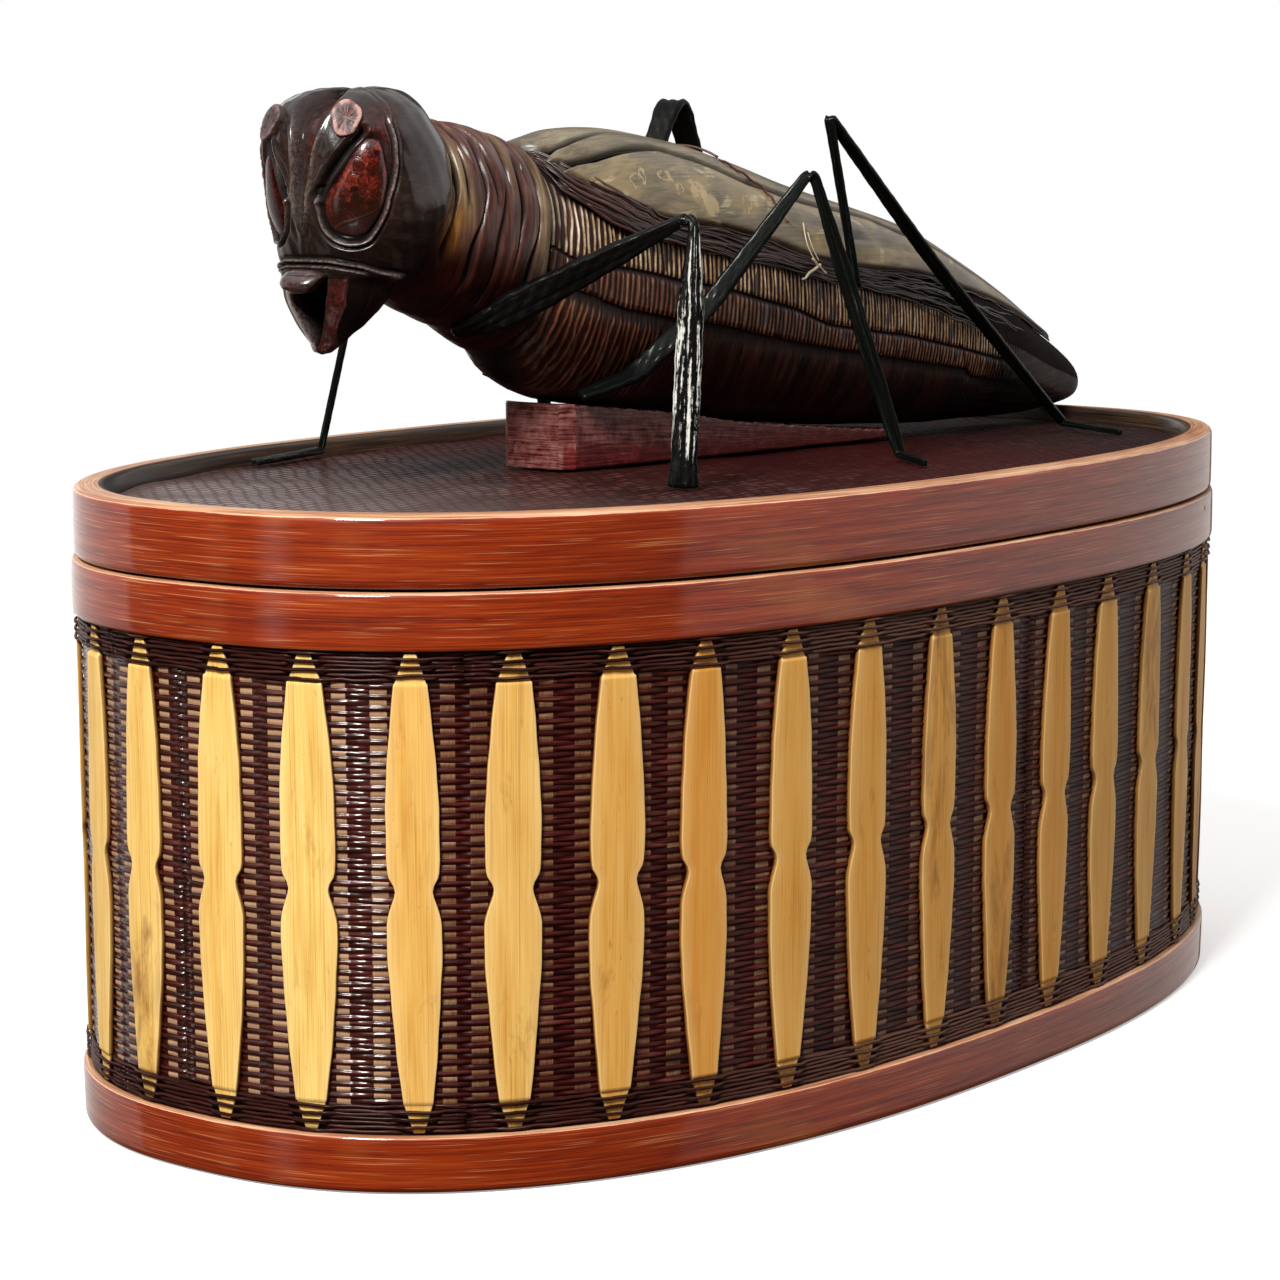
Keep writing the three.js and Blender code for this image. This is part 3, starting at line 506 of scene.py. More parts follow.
def make_abdomen():
    s = Mat("ribbed_weave", Coat_Weight=0.45, Coat_Roughness=0.16, Specular_IOR_Level=0.2)
    streak = s.noise(s.coord("Object", 0.9, 0.10, 0.10), 3, 0.6)
    fine = s.noise(s.coord("Object", 1.6, 0.8, 0.8), 4, 0.65)
    blot = s.noise(s.coord("Object", 0.07), 3, 0.6)
    rib = s.attr("rib")
    f = s.add((streak, 0.4), (fine, 0.25), (blot, 0.35))
    ground = s.ramp(f, [(0.38, (0.006, 0.0012, 0.0008)), (0.5, (0.018, 0.0035, 0.002)), (0.62, (0.045, 0.011, 0.006))])
    a = s.ramp(f, [(0.36, (0.10, 0.040, 0.018)), (0.46, (0.30, 0.17, 0.080)), (0.54, (0.58, 0.42, 0.26)), (0.64, (0.90, 0.78, 0.62))])
    b = s.ramp(f, [(0.36, (0.050, 0.012, 0.006)), (0.5, (0.14, 0.050, 0.022)), (0.62, (0.34, 0.18, 0.095))])
    c = s.ramp(f, [(0.36, (0.040, 0.008, 0.004)), (0.5, (0.14, 0.042, 0.018)), (0.64, (0.34, 0.15, 0.075))])
    ribs = s.mix(s.attr("band_b"), s.mix(s.attr("band_c"), a, c), b)
    ribs = s.mix(s.range(s.axis(0), 0.015, 0.075, 0.0, 0.35), ribs, (0.16, 0.085, 0.05))
    # Rib crests lighter and the hollows near-black: the strands' own tone, plus painted highlight and painted shade.
    col = s.mix(s.range(rib, 0.42, 0.92), ground, ribs)
    # The belly is near-black: its own dark red-brown deepened by painted shade.
    stripes = s.range(s.noise(s.coord("UV", 0.10, 0.035, 1), 3, 0.6), 0.46, 0.56)
    belly = s.mix(stripes, (0.003, 0.0010, 0.0008), s.ramp(f, [(0.4, (0.010, 0.0018, 0.0012)), (0.6, (0.034, 0.006, 0.0035))]))
    brown = s.ramp(s.add((f, 0.6), (streak, 0.4)), [(0.38, (0.012, 0.003, 0.0018)), (0.50, (0.040, 0.012, 0.006)), (0.62, (0.095, 0.038, 0.018))])
    bars = s.range(s.noise(s.coord("UV", 0.13, 0.012, 1, (4, 1, 0)), 2, 0.5), 0.44, 0.52)
    flank = s.math("MULTIPLY", s.range(s.axis(2), 0.1035, 0.116), s.range(s.axis(0), -0.02, 0.01))
    belly = s.mix(s.math("MULTIPLY", flank, bars), belly, brown)
    col = s.mix(s.attr("belly"), col, belly)
    fibres = s.noise(s.coord("Object", 0.08, 1.5, 1.5), 4, 0.6)
    tail = s.ramp(fibres, [(0.40, (0.002, 0.001, 0.0008)), (0.52, (0.007, 0.003, 0.0022)), (0.66, (0.040, 0.018, 0.012))])
    col = s.mix(s.attr("tail"), col, tail)
    # Painted shade under the wings and at the front end under the collar; the band grooves are dark as well.
    col = s.mix(s.attr("dark"), col, (0.006, 0.0025, 0.002))
    s.put(s.b.inputs["Coat Weight"], s.math("MULTIPLY", s.range(s.attr("dark"), 0.1, 0.9, 0.55, 0.0), s.range(s.add((s.attr("belly"), 1.0), (s.attr("tail"), 0.7)), 0.0, 1.0, 1.0, 0.15)))
    s.put(s.b.inputs["Specular IOR Level"], s.blend(s.attr("tail"), 0.2, 0.05))
    return s.done(col, s.blend(s.attr("tail"), s.blend(s.attr("dark"), s.range(f, 0.35, 0.65, 0.32, 0.5), 0.95), 0.72), s.bump(s.add((fine, 0.6), (fibres, 0.3)), 0.07))


WING_MARKS = [((-17.8, -1.2, 144.9), 1.25, 0.16), ((-15.6, -1.4, 146.0), 0.9, 0.14), ((-10.4, -1.2, 146.0), 1.3, 0.16), ((-7.6, -2.7, 143.8), 1.0, 0.15), ((-3.4, -3.4, 143.4), 0.2, 1.3), ((-1.4, -4.7, 141.2), 0.2, 1.4), ((9.0, -5.0, 141.0), 1.2, 0.14)]


def make_wing():
    s = Mat("wing_bamboo", Coat_Weight=0.35, Coat_Roughness=0.25, Specular_IOR_Level=0.45)
    fib = s.noise(s.coord("Object", 0.05, 2.2, 2.2), 4, 0.6)
    soft = s.noise(s.coord("Object", 0.06, 0.14, 0.14), 4, 0.6, 0.6)
    cells = s.voronoi(s.coord("Object", 0.14, 0.22, 0.22), "Distance")
    edge_cells = s.voronoi(s.coord("Object", 0.14, 0.22, 0.22), "Distance", 1.0, "DISTANCE_TO_EDGE")
    f = s.add((fib, 0.40), (soft, 0.60))
    col = s.ramp(f, [(0.36, (0.065, 0.046, 0.024)), (0.47, (0.125, 0.095, 0.055)), (0.56, (0.185, 0.148, 0.092)), (0.68, (0.29, 0.25, 0.175))])
    mott = s.attr("mottle")
    col = s.mix(s.math("MULTIPLY", mott, s.range(soft, 0.50, 0.58, 0.0, 0.6)), col, (0.24, 0.165, 0.062))
    ringlet = s.math("MULTIPLY", s.range(edge_cells, 0.11, 0.05, 0.0, 1.0), s.range(cells, 0.55, 0.40, 0.0, 1.0))
    col = s.mix(s.math("MULTIPLY", s.math("MULTIPLY", mott, ringlet), s.range(fib, 0.42, 0.55, 0.0, 0.8)), col, (0.42, 0.34, 0.19))
    col = s.mix(s.range(s.noise(s.coord("Object", 0.20, 0.35, 0.35, (5, 2, 0)), 4, 0.65), 0.60, 0.72, 0.0, 0.5), col, (0.055, 0.030, 0.015))
    jig = s.range(s.noise(s.coord("Object", 0.42), 3, 0.5, 0.4), 0.32, 0.68, -0.0009, 0.0009)
    broken = s.range(s.noise(s.coord("Object", 0.55, 0.55, 0.55, (2, 8, 1)), 2, 0.5), 0.40, 0.50, 0.1, 1.0)
    for p, rad, w in WING_MARKS:
        d = s.math("ADD", s.near(p), jig)
        m = s.range(s.math("ABSOLUTE", s.math("SUBTRACT", d, rad * MM)), w * MM, w * 1.8 * MM, 0.75, 0.0)
        col = s.mix(s.math("MULTIPLY", m, broken), col, (0.40, 0.31, 0.155))
    col = s.mix(s.range(s.axis(0), 0.086, 0.112, 0.0, 0.9), col, (0.012, 0.007, 0.005))
    # Painted shade along the seams between slats, in the crack and on the undersides.
    col = s.mix(s.attr("dark"), col, (0.006, 0.003, 0.002))
    return s.done(col, s.range(fib, 0.3, 0.7, 0.36, 0.55), s.bump(fib, 0.06))


def make_fibre(name="fibre", stops=None, shade=0.0):
    s = Mat(name, Coat_Weight=0.3, Coat_Roughness=0.25, Specular_IOR_Level=0.5)
    fib = s.noise(s.coord("UV", 0.25, 6.0, 1), 4, 0.6)
    tone = s.attr("tone")
    f = s.add((fib, 0.5), (tone, 0.5))
    # The default stops end in pale pinkish strands that stand in for glints: painted highlight.
    col = s.ramp(f, stops or [(0.25, (0.006, 0.002, 0.0016)), (0.45, (0.030, 0.009, 0.007)), (0.60, (0.085, 0.034, 0.027)), (0.74, (0.22, 0.13, 0.105)), (0.86, (0.55, 0.42, 0.38))])
    # Painted shadow under the wings, darkening the strands towards the tail.
    if shade:
        col = s.mix(s.range(s.axis(0), 0.005, 0.05, 0.0, shade), col, (0.006, 0.003, 0.0022))
    return s.done(col, s.range(fib, 0.3, 0.7, 0.35, 0.6), s.bump(fib, 0.08))


def make_black(name, base, chip_bias, chips, rough):
    s = Mat(name, Coat_Weight=0.14, Coat_Roughness=0.12, Specular_IOR_Level=0.06)
    along = s.noise(s.coord("UV", 0.07, 2.6, 1), 4, 0.6, 0.2)
    crust = s.noise(s.coord("UV", 0.8, 2.4, 1), 5, 0.7, 0.3)
    col = s.ramp(along, [(0.36, tuple(c * 0.45 for c in base)), (0.5, base), (0.66, tuple(c * 2.6 for c in base))])
    # Pale streaks where the noise and the chip attribute are high: worn chips, and on the front left leg also painted
    # highlight along the ridges.
    chip = s.add((along, 0.8), (crust, 0.28), (s.attr("chip"), chip_bias))
    col = s.mix(s.range(chip, 0.685, 0.74, 0.0, 0.95), col, chips)
    return s.done(col, s.range(crust, 0.35, 0.65, rough[0], rough[1]), s.bump(s.add((along, 0.6), (crust, 0.4)), 0.16))


def make_stub():
    s = Mat("stub_bark", Coat_Weight=0.2, Coat_Roughness=0.3)
    a = s.noise(s.coord("Object", 1.1), 5, 0.7, 0.6)
    b = s.noise(s.coord("Object", 0.4), 3, 0.6)
    f = s.add((a, 0.65), (b, 0.35))
    col = s.ramp(f, [(0.40, (0.010, 0.002, 0.002)), (0.49, (0.045, 0.007, 0.007)), (0.57, (0.11, 0.022, 0.020)), (0.68, (0.30, 0.13, 0.11))])
    # Painted highlight: the rim of the cut face is mixed towards pale pink.
    col = s.mix(s.math("MULTIPLY", s.attr("rim"), s.range(b, 0.42, 0.52, 0.3, 1.0)), col, (0.50, 0.27, 0.24))
    col = s.mix(s.math("MULTIPLY", s.attr("grey"), 0.8), col, s.ramp(f, [(0.38, (0.020, 0.013, 0.013)), (0.6, (0.11, 0.085, 0.085))]))
    col = s.mix(s.attr("side"), col, s.ramp(f, [(0.4, (0.014, 0.006, 0.005)), (0.6, (0.06, 0.025, 0.02))]))
    return s.done(col, s.range(a, 0.3, 0.7, 0.4, 0.7), s.bump(a, 0.35))


def make_labrum():
    s = Mat("labrum_wood", Coat_Weight=0.7, Coat_Roughness=0.15)
    a = s.noise(s.coord("Object", 0.5, 0.5, 0.7), 4, 0.65, 0.5)
    col = s.ramp(a, [(0.36, (0.018, 0.006, 0.005)), (0.48, (0.036, 0.018, 0.016)), (0.58, (0.066, 0.038, 0.035)), (0.7, (0.16, 0.085, 0.078))])
    return s.done(col, s.range(a, 0.3, 0.7, 0.28, 0.42), s.bump(a, 0.12))


def make_floor():
    s = Mat("floor_paint", Emission_Strength=0.34)
    n = s.noise(s.coord("Object", 0.004), 2, 0.5)
    return s.done(s.ramp(n, [(0.3, (0.94, 0.94, 0.94)), (0.7, (0.97, 0.97, 0.97))]), 0.8)


STAINED, RIM, SLAT, WEFT, STAKE, WALE, INNER = make_stained(), make_rim(), make_slat(), make_weft(), make_stake(), make_wale(), make_inner()
MATTING, LACQUER, HEAD_M, EYE_M, COLLAR_M, ABDOMEN_M, WING_M = make_matting(), make_lacquer(), make_head(), make_eye(), make_collar(), make_abdomen(), make_wing()
RIM_IN, INNER_WEAVE = make_rim_inside(), make_inner_weave()
EYE_FAR_M = make_eye("eye_lacquer_worn", 0.12, 0.1)
FIBRE = make_fibre(shade=0.72)
CORD = make_fibre("binding_cord", [(0.22, (0.03, 0.007, 0.005)), (0.5, (0.075, 0.022, 0.015)), (0.8, (0.16, 0.065, 0.045))])
TWINE = make_fibre("pale_twine", [(0.22, (0.20, 0.14, 0.09)), (0.5, (0.42, 0.33, 0.22)), (0.8, (0.75, 0.68, 0.55))])
LEG_CHIPS_AND_GLINTS = make_black("black_lacquer_chips_and_glints", (0.0025, 0.0025, 0.0023), 0.145, (0.66, 0.67, 0.62), (0.22, 0.45))
LEG_DULL = make_black("black_lacquer_dull", (0.0030, 0.0040, 0.0034), 0.10, (0.055, 0.065, 0.058), (0.32, 0.55))
STUB_M, LABRUM_M = make_stub(), make_labrum()

# ---------------------------------------------------------------- mesh helpers


def table(x, xs, ys):
    """Monotone cubic through the points, flat beyond the ends."""
    xs, ys = np.asarray(xs, float), np.asarray(ys, float)
    h, d = np.diff(xs), np.diff(ys) / np.diff(xs)
    m = np.empty_like(ys)
    m[0], m[-1] = d[0], d[-1]
    for i in range(1, len(xs) - 1):
        m[i] = 0 if d[i - 1] * d[i] <= 0 else 3 * (h[i - 1] + h[i]) / ((2 * h[i] + h[i - 1]) / d[i - 1] + (h[i] + 2 * h[i - 1]) / d[i])
    x = np.clip(np.asarray(x, float), xs[0], xs[-1])
    k = np.clip(np.searchsorted(xs, x, "right") - 1, 0, len(xs) - 2)
    t = (x - xs[k]) / h[k]
    return ys[k] * (1 + 2 * t) * (1 - t) ** 2 + m[k] * h[k] * t * (1 - t) ** 2 + ys[k + 1] * t * t * (3 - 2 * t) + m[k + 1] * h[k] * t * t * (t - 1)


def smooth(x, a, b):
    t = np.clip((x - a) / (b - a), 0, 1)
    return t * t * (3 - 2 * t)


def bell(x, s):
    return np.exp(-(x / s) ** 2)


def grid(n, m, wrap_n=False, wrap_m=False, base=0):
    i = np.arange(n if wrap_n else n - 1)
    j = np.arange(m if wrap_m else m - 1)
    I, J = (g.ravel() for g in np.meshgrid(i, j, indexing="ij"))
    I2, J2 = (I + 1) % n, (J + 1) % m
    return np.stack([I * m + J, I2 * m + J, I2 * m + J2, I * m + J2], -1) + base


def grid_uv(us, vs):
    """Loop coordinates for grid(): us and vs hold one value more than the faces that they span."""
    n, m = len(us) - 1, len(vs) - 1
    I, J = (g.ravel() for g in np.meshgrid(np.arange(n), np.arange(m), indexing="ij"))
    u, v = np.asarray(us), np.asarray(vs)
    return np.stack([np.stack([u[I], v[J]], -1), np.stack([u[I + 1], v[J]], -1), np.stack([u[I + 1], v[J + 1]], -1), np.stack([u[I], v[J + 1]], -1)], 1)


def mesh(name, V, Q=None, T=None, mats=(), uvq=None, uvt=None, uv=None, idx=None, attrs=None, closed=True, shade=True, flat_t=False):
    V = np.asarray(V, float).reshape(-1, 3)
    Q = np.zeros((0, 4), int) if Q is None else np.asarray(Q, int).reshape(-1, 4)
    T = np.zeros((0, 3), int) if T is None else np.asarray(T, int).reshape(-1, 3)
    if uv is not None:
        uv = np.asarray(uv, float)
        uvq, uvt = uv[Q], uv[T]
    if uvq is None:
        uvq = np.zeros((len(Q), 4, 2))
    if uvt is None:
        uvt = np.zeros((len(T), 3, 2))
    if closed:
        tri = np.concatenate([Q[:, [0, 1, 2]], Q[:, [0, 2, 3]], T])
        c = V.mean(0)
        a, b, d = (V[tri[:, k]] - c for k in range(3))
        if np.einsum("ij,ij->i", a, np.cross(b, d)).sum() < 0:
            Q, T, uvq, uvt = Q[:, ::-1], T[:, ::-1], uvq[:, ::-1], uvt[:, ::-1]
    me = bpy.data.meshes.new(name)
    me.vertices.add(len(V))
    me.vertices.foreach_set("co", (V * MM).astype(np.float32).ravel())
    me.loops.add(Q.size + T.size)
    me.loops.foreach_set("vertex_index", np.concatenate([Q.ravel(), T.ravel()]).astype(np.int32))
    me.polygons.add(len(Q) + len(T))
    me.polygons.foreach_set("loop_start", np.concatenate([np.arange(len(Q)) * 4, Q.size + np.arange(len(T)) * 3]).astype(np.int32))
    for m in mats:
        me.materials.append(m)
    if idx is not None:
        me.polygons.foreach_set("material_index", np.asarray(idx, dtype=np.int32))
    me.polygons.foreach_set("use_smooth", np.concatenate([np.full(len(Q), shade), np.full(len(T), shade and not flat_t)]))
    lay = me.uv_layers.new(name="UVMap")
    lay.data.foreach_set("uv", (np.concatenate([uvq.reshape(-1, 2), uvt.reshape(-1, 2)]) * MM).astype(np.float32).ravel())
    for k, a in (attrs or {}).items():
        at = me.attributes.new(k, "FLOAT", "POINT")
        at.data.foreach_set("value", np.asarray(a, dtype=np.float32).ravel())
    me.update(calc_edges=True)
    me.validate()
    o = bpy.data.objects.new(name, me)
    SC.collection.objects.link(o)
    return o


class Pile:
    """Gathers several closed skins into one mesh."""

    def __init__(self):
        self.V, self.Q, self.T, self.uq, self.ut, self.at, self.n = [], [], [], [], [], {}, 0

    def put(self, V, Q, T, uq, ut, **at):
        V = np.asarray(V, float).reshape(-1, 3)
        tri = np.concatenate([Q[:, [0, 1, 2]], Q[:, [0, 2, 3]], T])
        a, b, d = (V[tri[:, k]] - V.mean(0) for k in range(3))
        if np.einsum("ij,ij->i", a, np.cross(b, d)).sum() < 0:
            Q, T, uq, ut = Q[:, ::-1], T[:, ::-1], uq[:, ::-1], ut[:, ::-1]
        self.V.append(V)
        self.Q.append(Q + self.n)
        self.T.append(T + self.n)
        self.uq.append(uq)
        self.ut.append(ut)
        for k, v in at.items():
            self.at.setdefault(k, []).append(np.broadcast_to(np.asarray(v, float).ravel() if np.ndim(v) else v, (len(V),)))
        self.n += len(V)

    def make(self, name, mats):
        return mesh(name, np.concatenate(self.V), np.concatenate(self.Q), np.concatenate(self.T), mats, np.concatenate(self.uq), np.concatenate(self.ut), attrs={k: np.concatenate(v) for k, v in self.at.items()}, closed=False)


def tube(P, K, us, vs):
    """Rings P (n, K, 3) joined and closed with a point at each end: vertices, quads, triangles and loop coordinates."""
    n = len(P)
    V = np.concatenate([P.reshape(-1, 3), P[0].mean(0)[None], P[-1].mean(0)[None]])
    Q = grid(n, K, False, True)
    k = np.arange(K)
    T = np.concatenate([np.stack([np.full(K, n * K), k, (k + 1) % K], -1), np.stack([np.full(K, n * K + 1), (n - 1) * K + (k + 1) % K, (n - 1) * K + k], -1)])
    uq = grid_uv(us, vs)
    ut = np.zeros((len(T), 3, 2))
    ut[:K] = us[0]
    ut[K:] = us[-1]
    ut[:, :, 1] = np.tile(vs[:-1], 2)[:, None]
    return V, Q, T, uq, ut


def take(obj, body, node):
    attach(obj, body)
    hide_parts(*([node] if isinstance(node, str) else node))


# ---------------------------------------------------------------- the oval
A0, B0, POWER = 125.0, 68.1, 2.366


def oval(t, off):
    c, s = np.cos(t), np.sin(t)
    e = 2 / POWER
    return np.sign(c) * np.abs(c) ** e * (A0 + off), np.sign(s) * np.abs(s) ** e * (B0 + off)


_t = np.linspace(0, 2 * np.pi, 20001)
_x, _y = oval(_t, 0)
_l = np.concatenate([[0], np.cumsum(np.hypot(np.diff(_x), np.diff(_y)))])
PERIM = _l[-1]


def at_mm(pos):
    """Point and outward normal of the oval, pos millimetres along it."""
    t = np.interp(np.mod(pos, PERIM), _l, _t)
    x, y = oval(t, 0)
    xa, ya = oval(t - 0.004, 0)
    xb, yb = oval(t + 0.004, 0)
    tx, ty = xb - xa, yb - ya
    n = np.hypot(tx, ty)
    return x, y, ty / n, -tx / n


def wall_off(z):
    return -1.7 + 0.7 * (z - 4.4) / 79.3


def ring(name, prof, mats, mat_of=None, edge=(), n=420, wobble=0.04, seed=0):
    """A hoop: a closed profile [(offset, z)] carried round the oval."""
    m = len(prof)
    pr = np.array(prof, float)
    d = np.concatenate([[0], np.cumsum(np.hypot(*(np.roll(pr, -1, 0) - pr).T))])
    pos = np.arange(n + 1) / n * PERIM
    t = np.interp(np.mod(pos[:-1], PERIM), _l, _t)
    g = np.random.default_rng(seed + 40)
    ph = g.uniform(0, 6.28, 6)
    f = pos[:-1] / PERIM * 2 * np.pi
    wob = wobble * (np.sin(3 * f + ph[0]) + 0.6 * np.sin(8 * f + ph[1]) + 0.35 * np.sin(19 * f + ph[2]))
    V = np.empty((n, m, 3))
    for k in range(m):
        x, y = oval(t, pr[k, 0] + (wob * 0.7 if pr[k, 0] > -1 else 0))
        V[:, k, 0], V[:, k, 1], V[:, k, 2] = x, y, pr[k, 1] + wob * (0.9 if k in edge else 0.5)
    E = np.zeros((n, m))
    E[:, list(edge)] = 1
    Q = grid(n, m, True, True)
    idx = np.tile([mat_of(k) if mat_of else 0 for k in range(m)], n)
    return mesh(name, V, Q, None, mats, grid_uv(pos, d), idx=idx, attrs={"edge": E})


foot = ring("foot_hoop_turned", [(-5.5, 0.03), (-0.7, 0.03), (-0.25, 0.18), (0.0, 0.55), (0.03, 1.3), (0.10, 4.0), (0.18, 7.3), (0.17, 7.95), (0.02, 8.35), (-0.3, 8.53), (-0.8, 8.55), (-1.25, 8.5), (-1.28, 4.05), (-5.5, 4.0)],
            [STAINED, RIM], mat_of=lambda k: 1 if k in (8, 9, 10) else 0, edge=(8, 9, 10), seed=1)
take(foot, "basket", "foot_hoop")
mouth = ring("mouth_hoop_turned", [(-0.6, 79.84), (0.02, 79.84), (0.30, 79.98), (0.40, 80.35), (0.42, 81.0), (0.42, 84), (0.40, 87.2), (0.36, 87.75), (0.20, 88.15), (-0.15, 88.33), (-1.2, 88.34), (-5.1, 88.33), (-5.1, 84.2), (-0.6, 84.2)],
             [STAINED, RIM], mat_of=lambda k: 1 if k in (8, 9, 10) else 0, edge=(8, 9), seed=2)
take(mouth, "basket", "mouth_hoop")
lid = ring("lid_hoop_turned", [(-5.0, 88.75), (-0.7, 88.75), (-0.28, 88.85), (-0.05, 89.2), (0.0, 89.8), (0.03, 94), (0.0, 97.9), (-0.03, 98.55), (-0.22, 99.02), (-0.6, 99.3), (-1.3, 99.44), (-2.6, 99.48), (-3.8, 99.46), (-4.6, 99.3), (-5.0, 98.9), (-5.05, 96)],
           [STAINED, RIM, RIM_IN], mat_of=lambda k: 1 if k in (8, 9, 10, 11) else (2 if k in (12, 13, 14, 15) else 0), edge=(8, 9), wobble=0.03, seed=3)
take(lid, "lid", "lid_hoop")

# ---------------------------------------------------------------- woven wall
FRONT = [0.4590, 0.4822, 0.5080, 0.5316, 0.5569, 0.5800, 0.6050, 0.6292, 0.6551, 0.6818, 0.7098, 0.7374, 0.7652, 0.7925, 0.8229, 0.8539]
STEP = (1 + FRONT[0] - FRONT[15]) / 23
SLAT_AT = np.array([FRONT[15] + (k + 6) * STEP - 1 for k in range(17)] + FRONT + [FRONT[15] + (k + 1) * STEP for k in range(5)])
SLATS = 38
CENTRE = SLAT_AT * PERIM
NEXT = np.append(CENTRE[1:], CENTRE[0] + PERIM)
SPANS = [("back_right", 0, 10), ("back_left", 10, 19), ("front_left", 19, 29), ("front_right", 29, 38)]
ROW = 0.83
Z0W, Z1W = 4.7, 83.4
rows = int((Z1W - Z0W) / ROW)
FR = np.array([0.0, 0.17, 0.5, 0.83])
fz = np.append((np.arange(rows)[:, None] + FR).ravel(), rows)
zz = Z0W + fz * ROW
OFFS = np.array([-6.75, -6.45, -6.05, -5.1, -3.9, 0.0, 3.9, 5.1, 6.05, 6.45, 6.75])


def wall_piece(name, i0, i1):
    pos, s, kk = [], [], []
    lo = (CENTRE[i0] + (CENTRE[i0 - 1] if i0 else CENTRE[-1] - PERIM)) / 2
    pos.append(lo), s.append(9.0), kk.append(2 * i0)
    for i in range(i0, i1):
        for o in OFFS:
            pos.append(CENTRE[i] + o), s.append(o), kk.append(2 * i + (o > 0))
        pos.append((CENTRE[i] + NEXT[i]) / 2), s.append(9.0), kk.append(2 * i + 2)
    pos, s, kk = np.array(pos), np.array(s), np.array(kk)
    x, y, nx, ny = at_mm(pos)
    q = np.minimum(fz.astype(int), rows - 1)
    t = fz - q
    hump = np.sin(np.pi * t) ** 0.6
    over = (q[:, None] + kk[None, :]) % 2 == 0
    gap = np.abs(s) > 6.6
    mid = s == 9.0
    hid = np.abs(s) < 1.0
    g = np.random.default_rng(i0 + 5)
    rowj = g.normal(0, 0.05, rows)[q][:, None] * np.ones(len(pos))
    H = np.where(over, 0.14 + 0.42 * hump[:, None], 0.02 + 0.17 * (hump[:, None] > 0.1))
    H = np.where(gap[None, :], 0.30 * hump[:, None] + np.where(over, 0.13, -0.10), H)
    H = np.where(mid[None, :], 0.32 * hump[:, None] + 0.02, H)
    H = np.where(hid[None, :], 0.15 * hump[:, None], H)
    H += (rowj + g.normal(0, 0.025, H.shape)) * hump[:, None]
    Z = zz[:, None] + 0.06 * np.sin(pos[None, :] * 0.11 + q[:, None] * 1.7) + 0.05 * np.sin(pos[None, :] * 0.53 + q[:, None])
    O = wall_off(Z) + H - 0.1
    V = np.stack([x + nx * O, y + ny * O, Z], -1)
    R, C = V.shape[:2]
    band = ((zz > 75.3) | (zz < 13.0))[:-1]
    under = ~over[:-1]
    face_s = np.abs(s[:-1] + s[1:]) / 2
    face_s = face_s + np.where(s[:-1] + s[1:] > 0, 0.35, 0.0)
    face_s = np.where((s[:-1] == 9.0) | (s[1:] == 9.0), 9.0, face_s)
    # a stake shows where the strand passes behind it
    kface = np.where(s[1:] == 9.0, kk[:-1], kk[1:])
    under = (q[:-1, None] + kface[None, :]) % 2 == 1
    idx = np.where(under & (face_s < 6.4)[None, :] & (face_s > 3.0)[None, :], 1, 0)
    idx = np.where(band[:, None], 2, idx)
    # crest: height of each row's hump; it drives the painted shade in the valleys and the pale wear and painted
    # highlight on the tops.
    crest = np.clip(np.where(over | gap[None, :], hump[:, None] * 0.9 + 0.1 * over, 0.12 + 0.88 * (hump[:, None] > 0.1)), 0, 1)
    Q = grid(R, C)
    uq = grid_uv(zz, pos)[..., ::-1]
    bx, by, _, _ = x, y, nx, ny
    back = np.concatenate([np.stack([x - nx * 3.5, y - ny * 3.5, np.full(C, Z0W)], -1), np.stack([x - nx * 3.5, y - ny * 3.5, np.full(C, Z1W)], -1)])
    nb, c = R * C, np.arange(C - 1)
    top = (R - 1) * C
    Qb = np.concatenate([np.stack([nb + c + 1, nb + C + c + 1, nb + C + c, nb + c], -1), np.stack([c + 1, nb + c + 1, nb + c, c], -1), np.stack([top + c, nb + C + c, nb + C + c + 1, top + c + 1], -1)])
    uv_all = np.concatenate([np.stack([np.broadcast_to(pos, (R, C)), Z], -1).reshape(-1, 2), np.stack([pos, np.full(C, Z0W)], -1), np.stack([pos, np.full(C, Z1W)], -1)])
    T, h = [], R // 2
    for col, e in ((0, 0), (C - 1, 1)):
        r = np.arange(R - 1) * C + col
        apex = np.where(np.arange(R - 1) < h, nb + col, nb + C + col)
        tri = np.stack([r, r + C, apex], -1)
        mid_t = np.array([[h * C + col, nb + C + col, nb + col]])
        tri = np.concatenate([tri, mid_t])
        T.append(tri if e else tri[:, ::-1])
    T = np.concatenate(T)
    Vall = np.concatenate([V.reshape(-1, 3), back])
    idx_all = np.concatenate([idx.ravel(), np.full(C - 1, 3), np.full(2 * (C - 1), 3), np.full(len(T), 3)])
    Qall = np.concatenate([Q, Qb])
    return mesh(name, Vall, Qall, T, [WEFT, STAKE, WALE, INNER_WEAVE], np.concatenate([uq, uv_all[Qb]]), uv_all[T], idx=idx_all, attrs={"crest": np.concatenate([crest.ravel(), np.full(2 * C, 0.8)])})


for nm, i0, i1 in SPANS:
    take(wall_piece("weave_" + nm, i0, i1), "basket", "woven_wall")

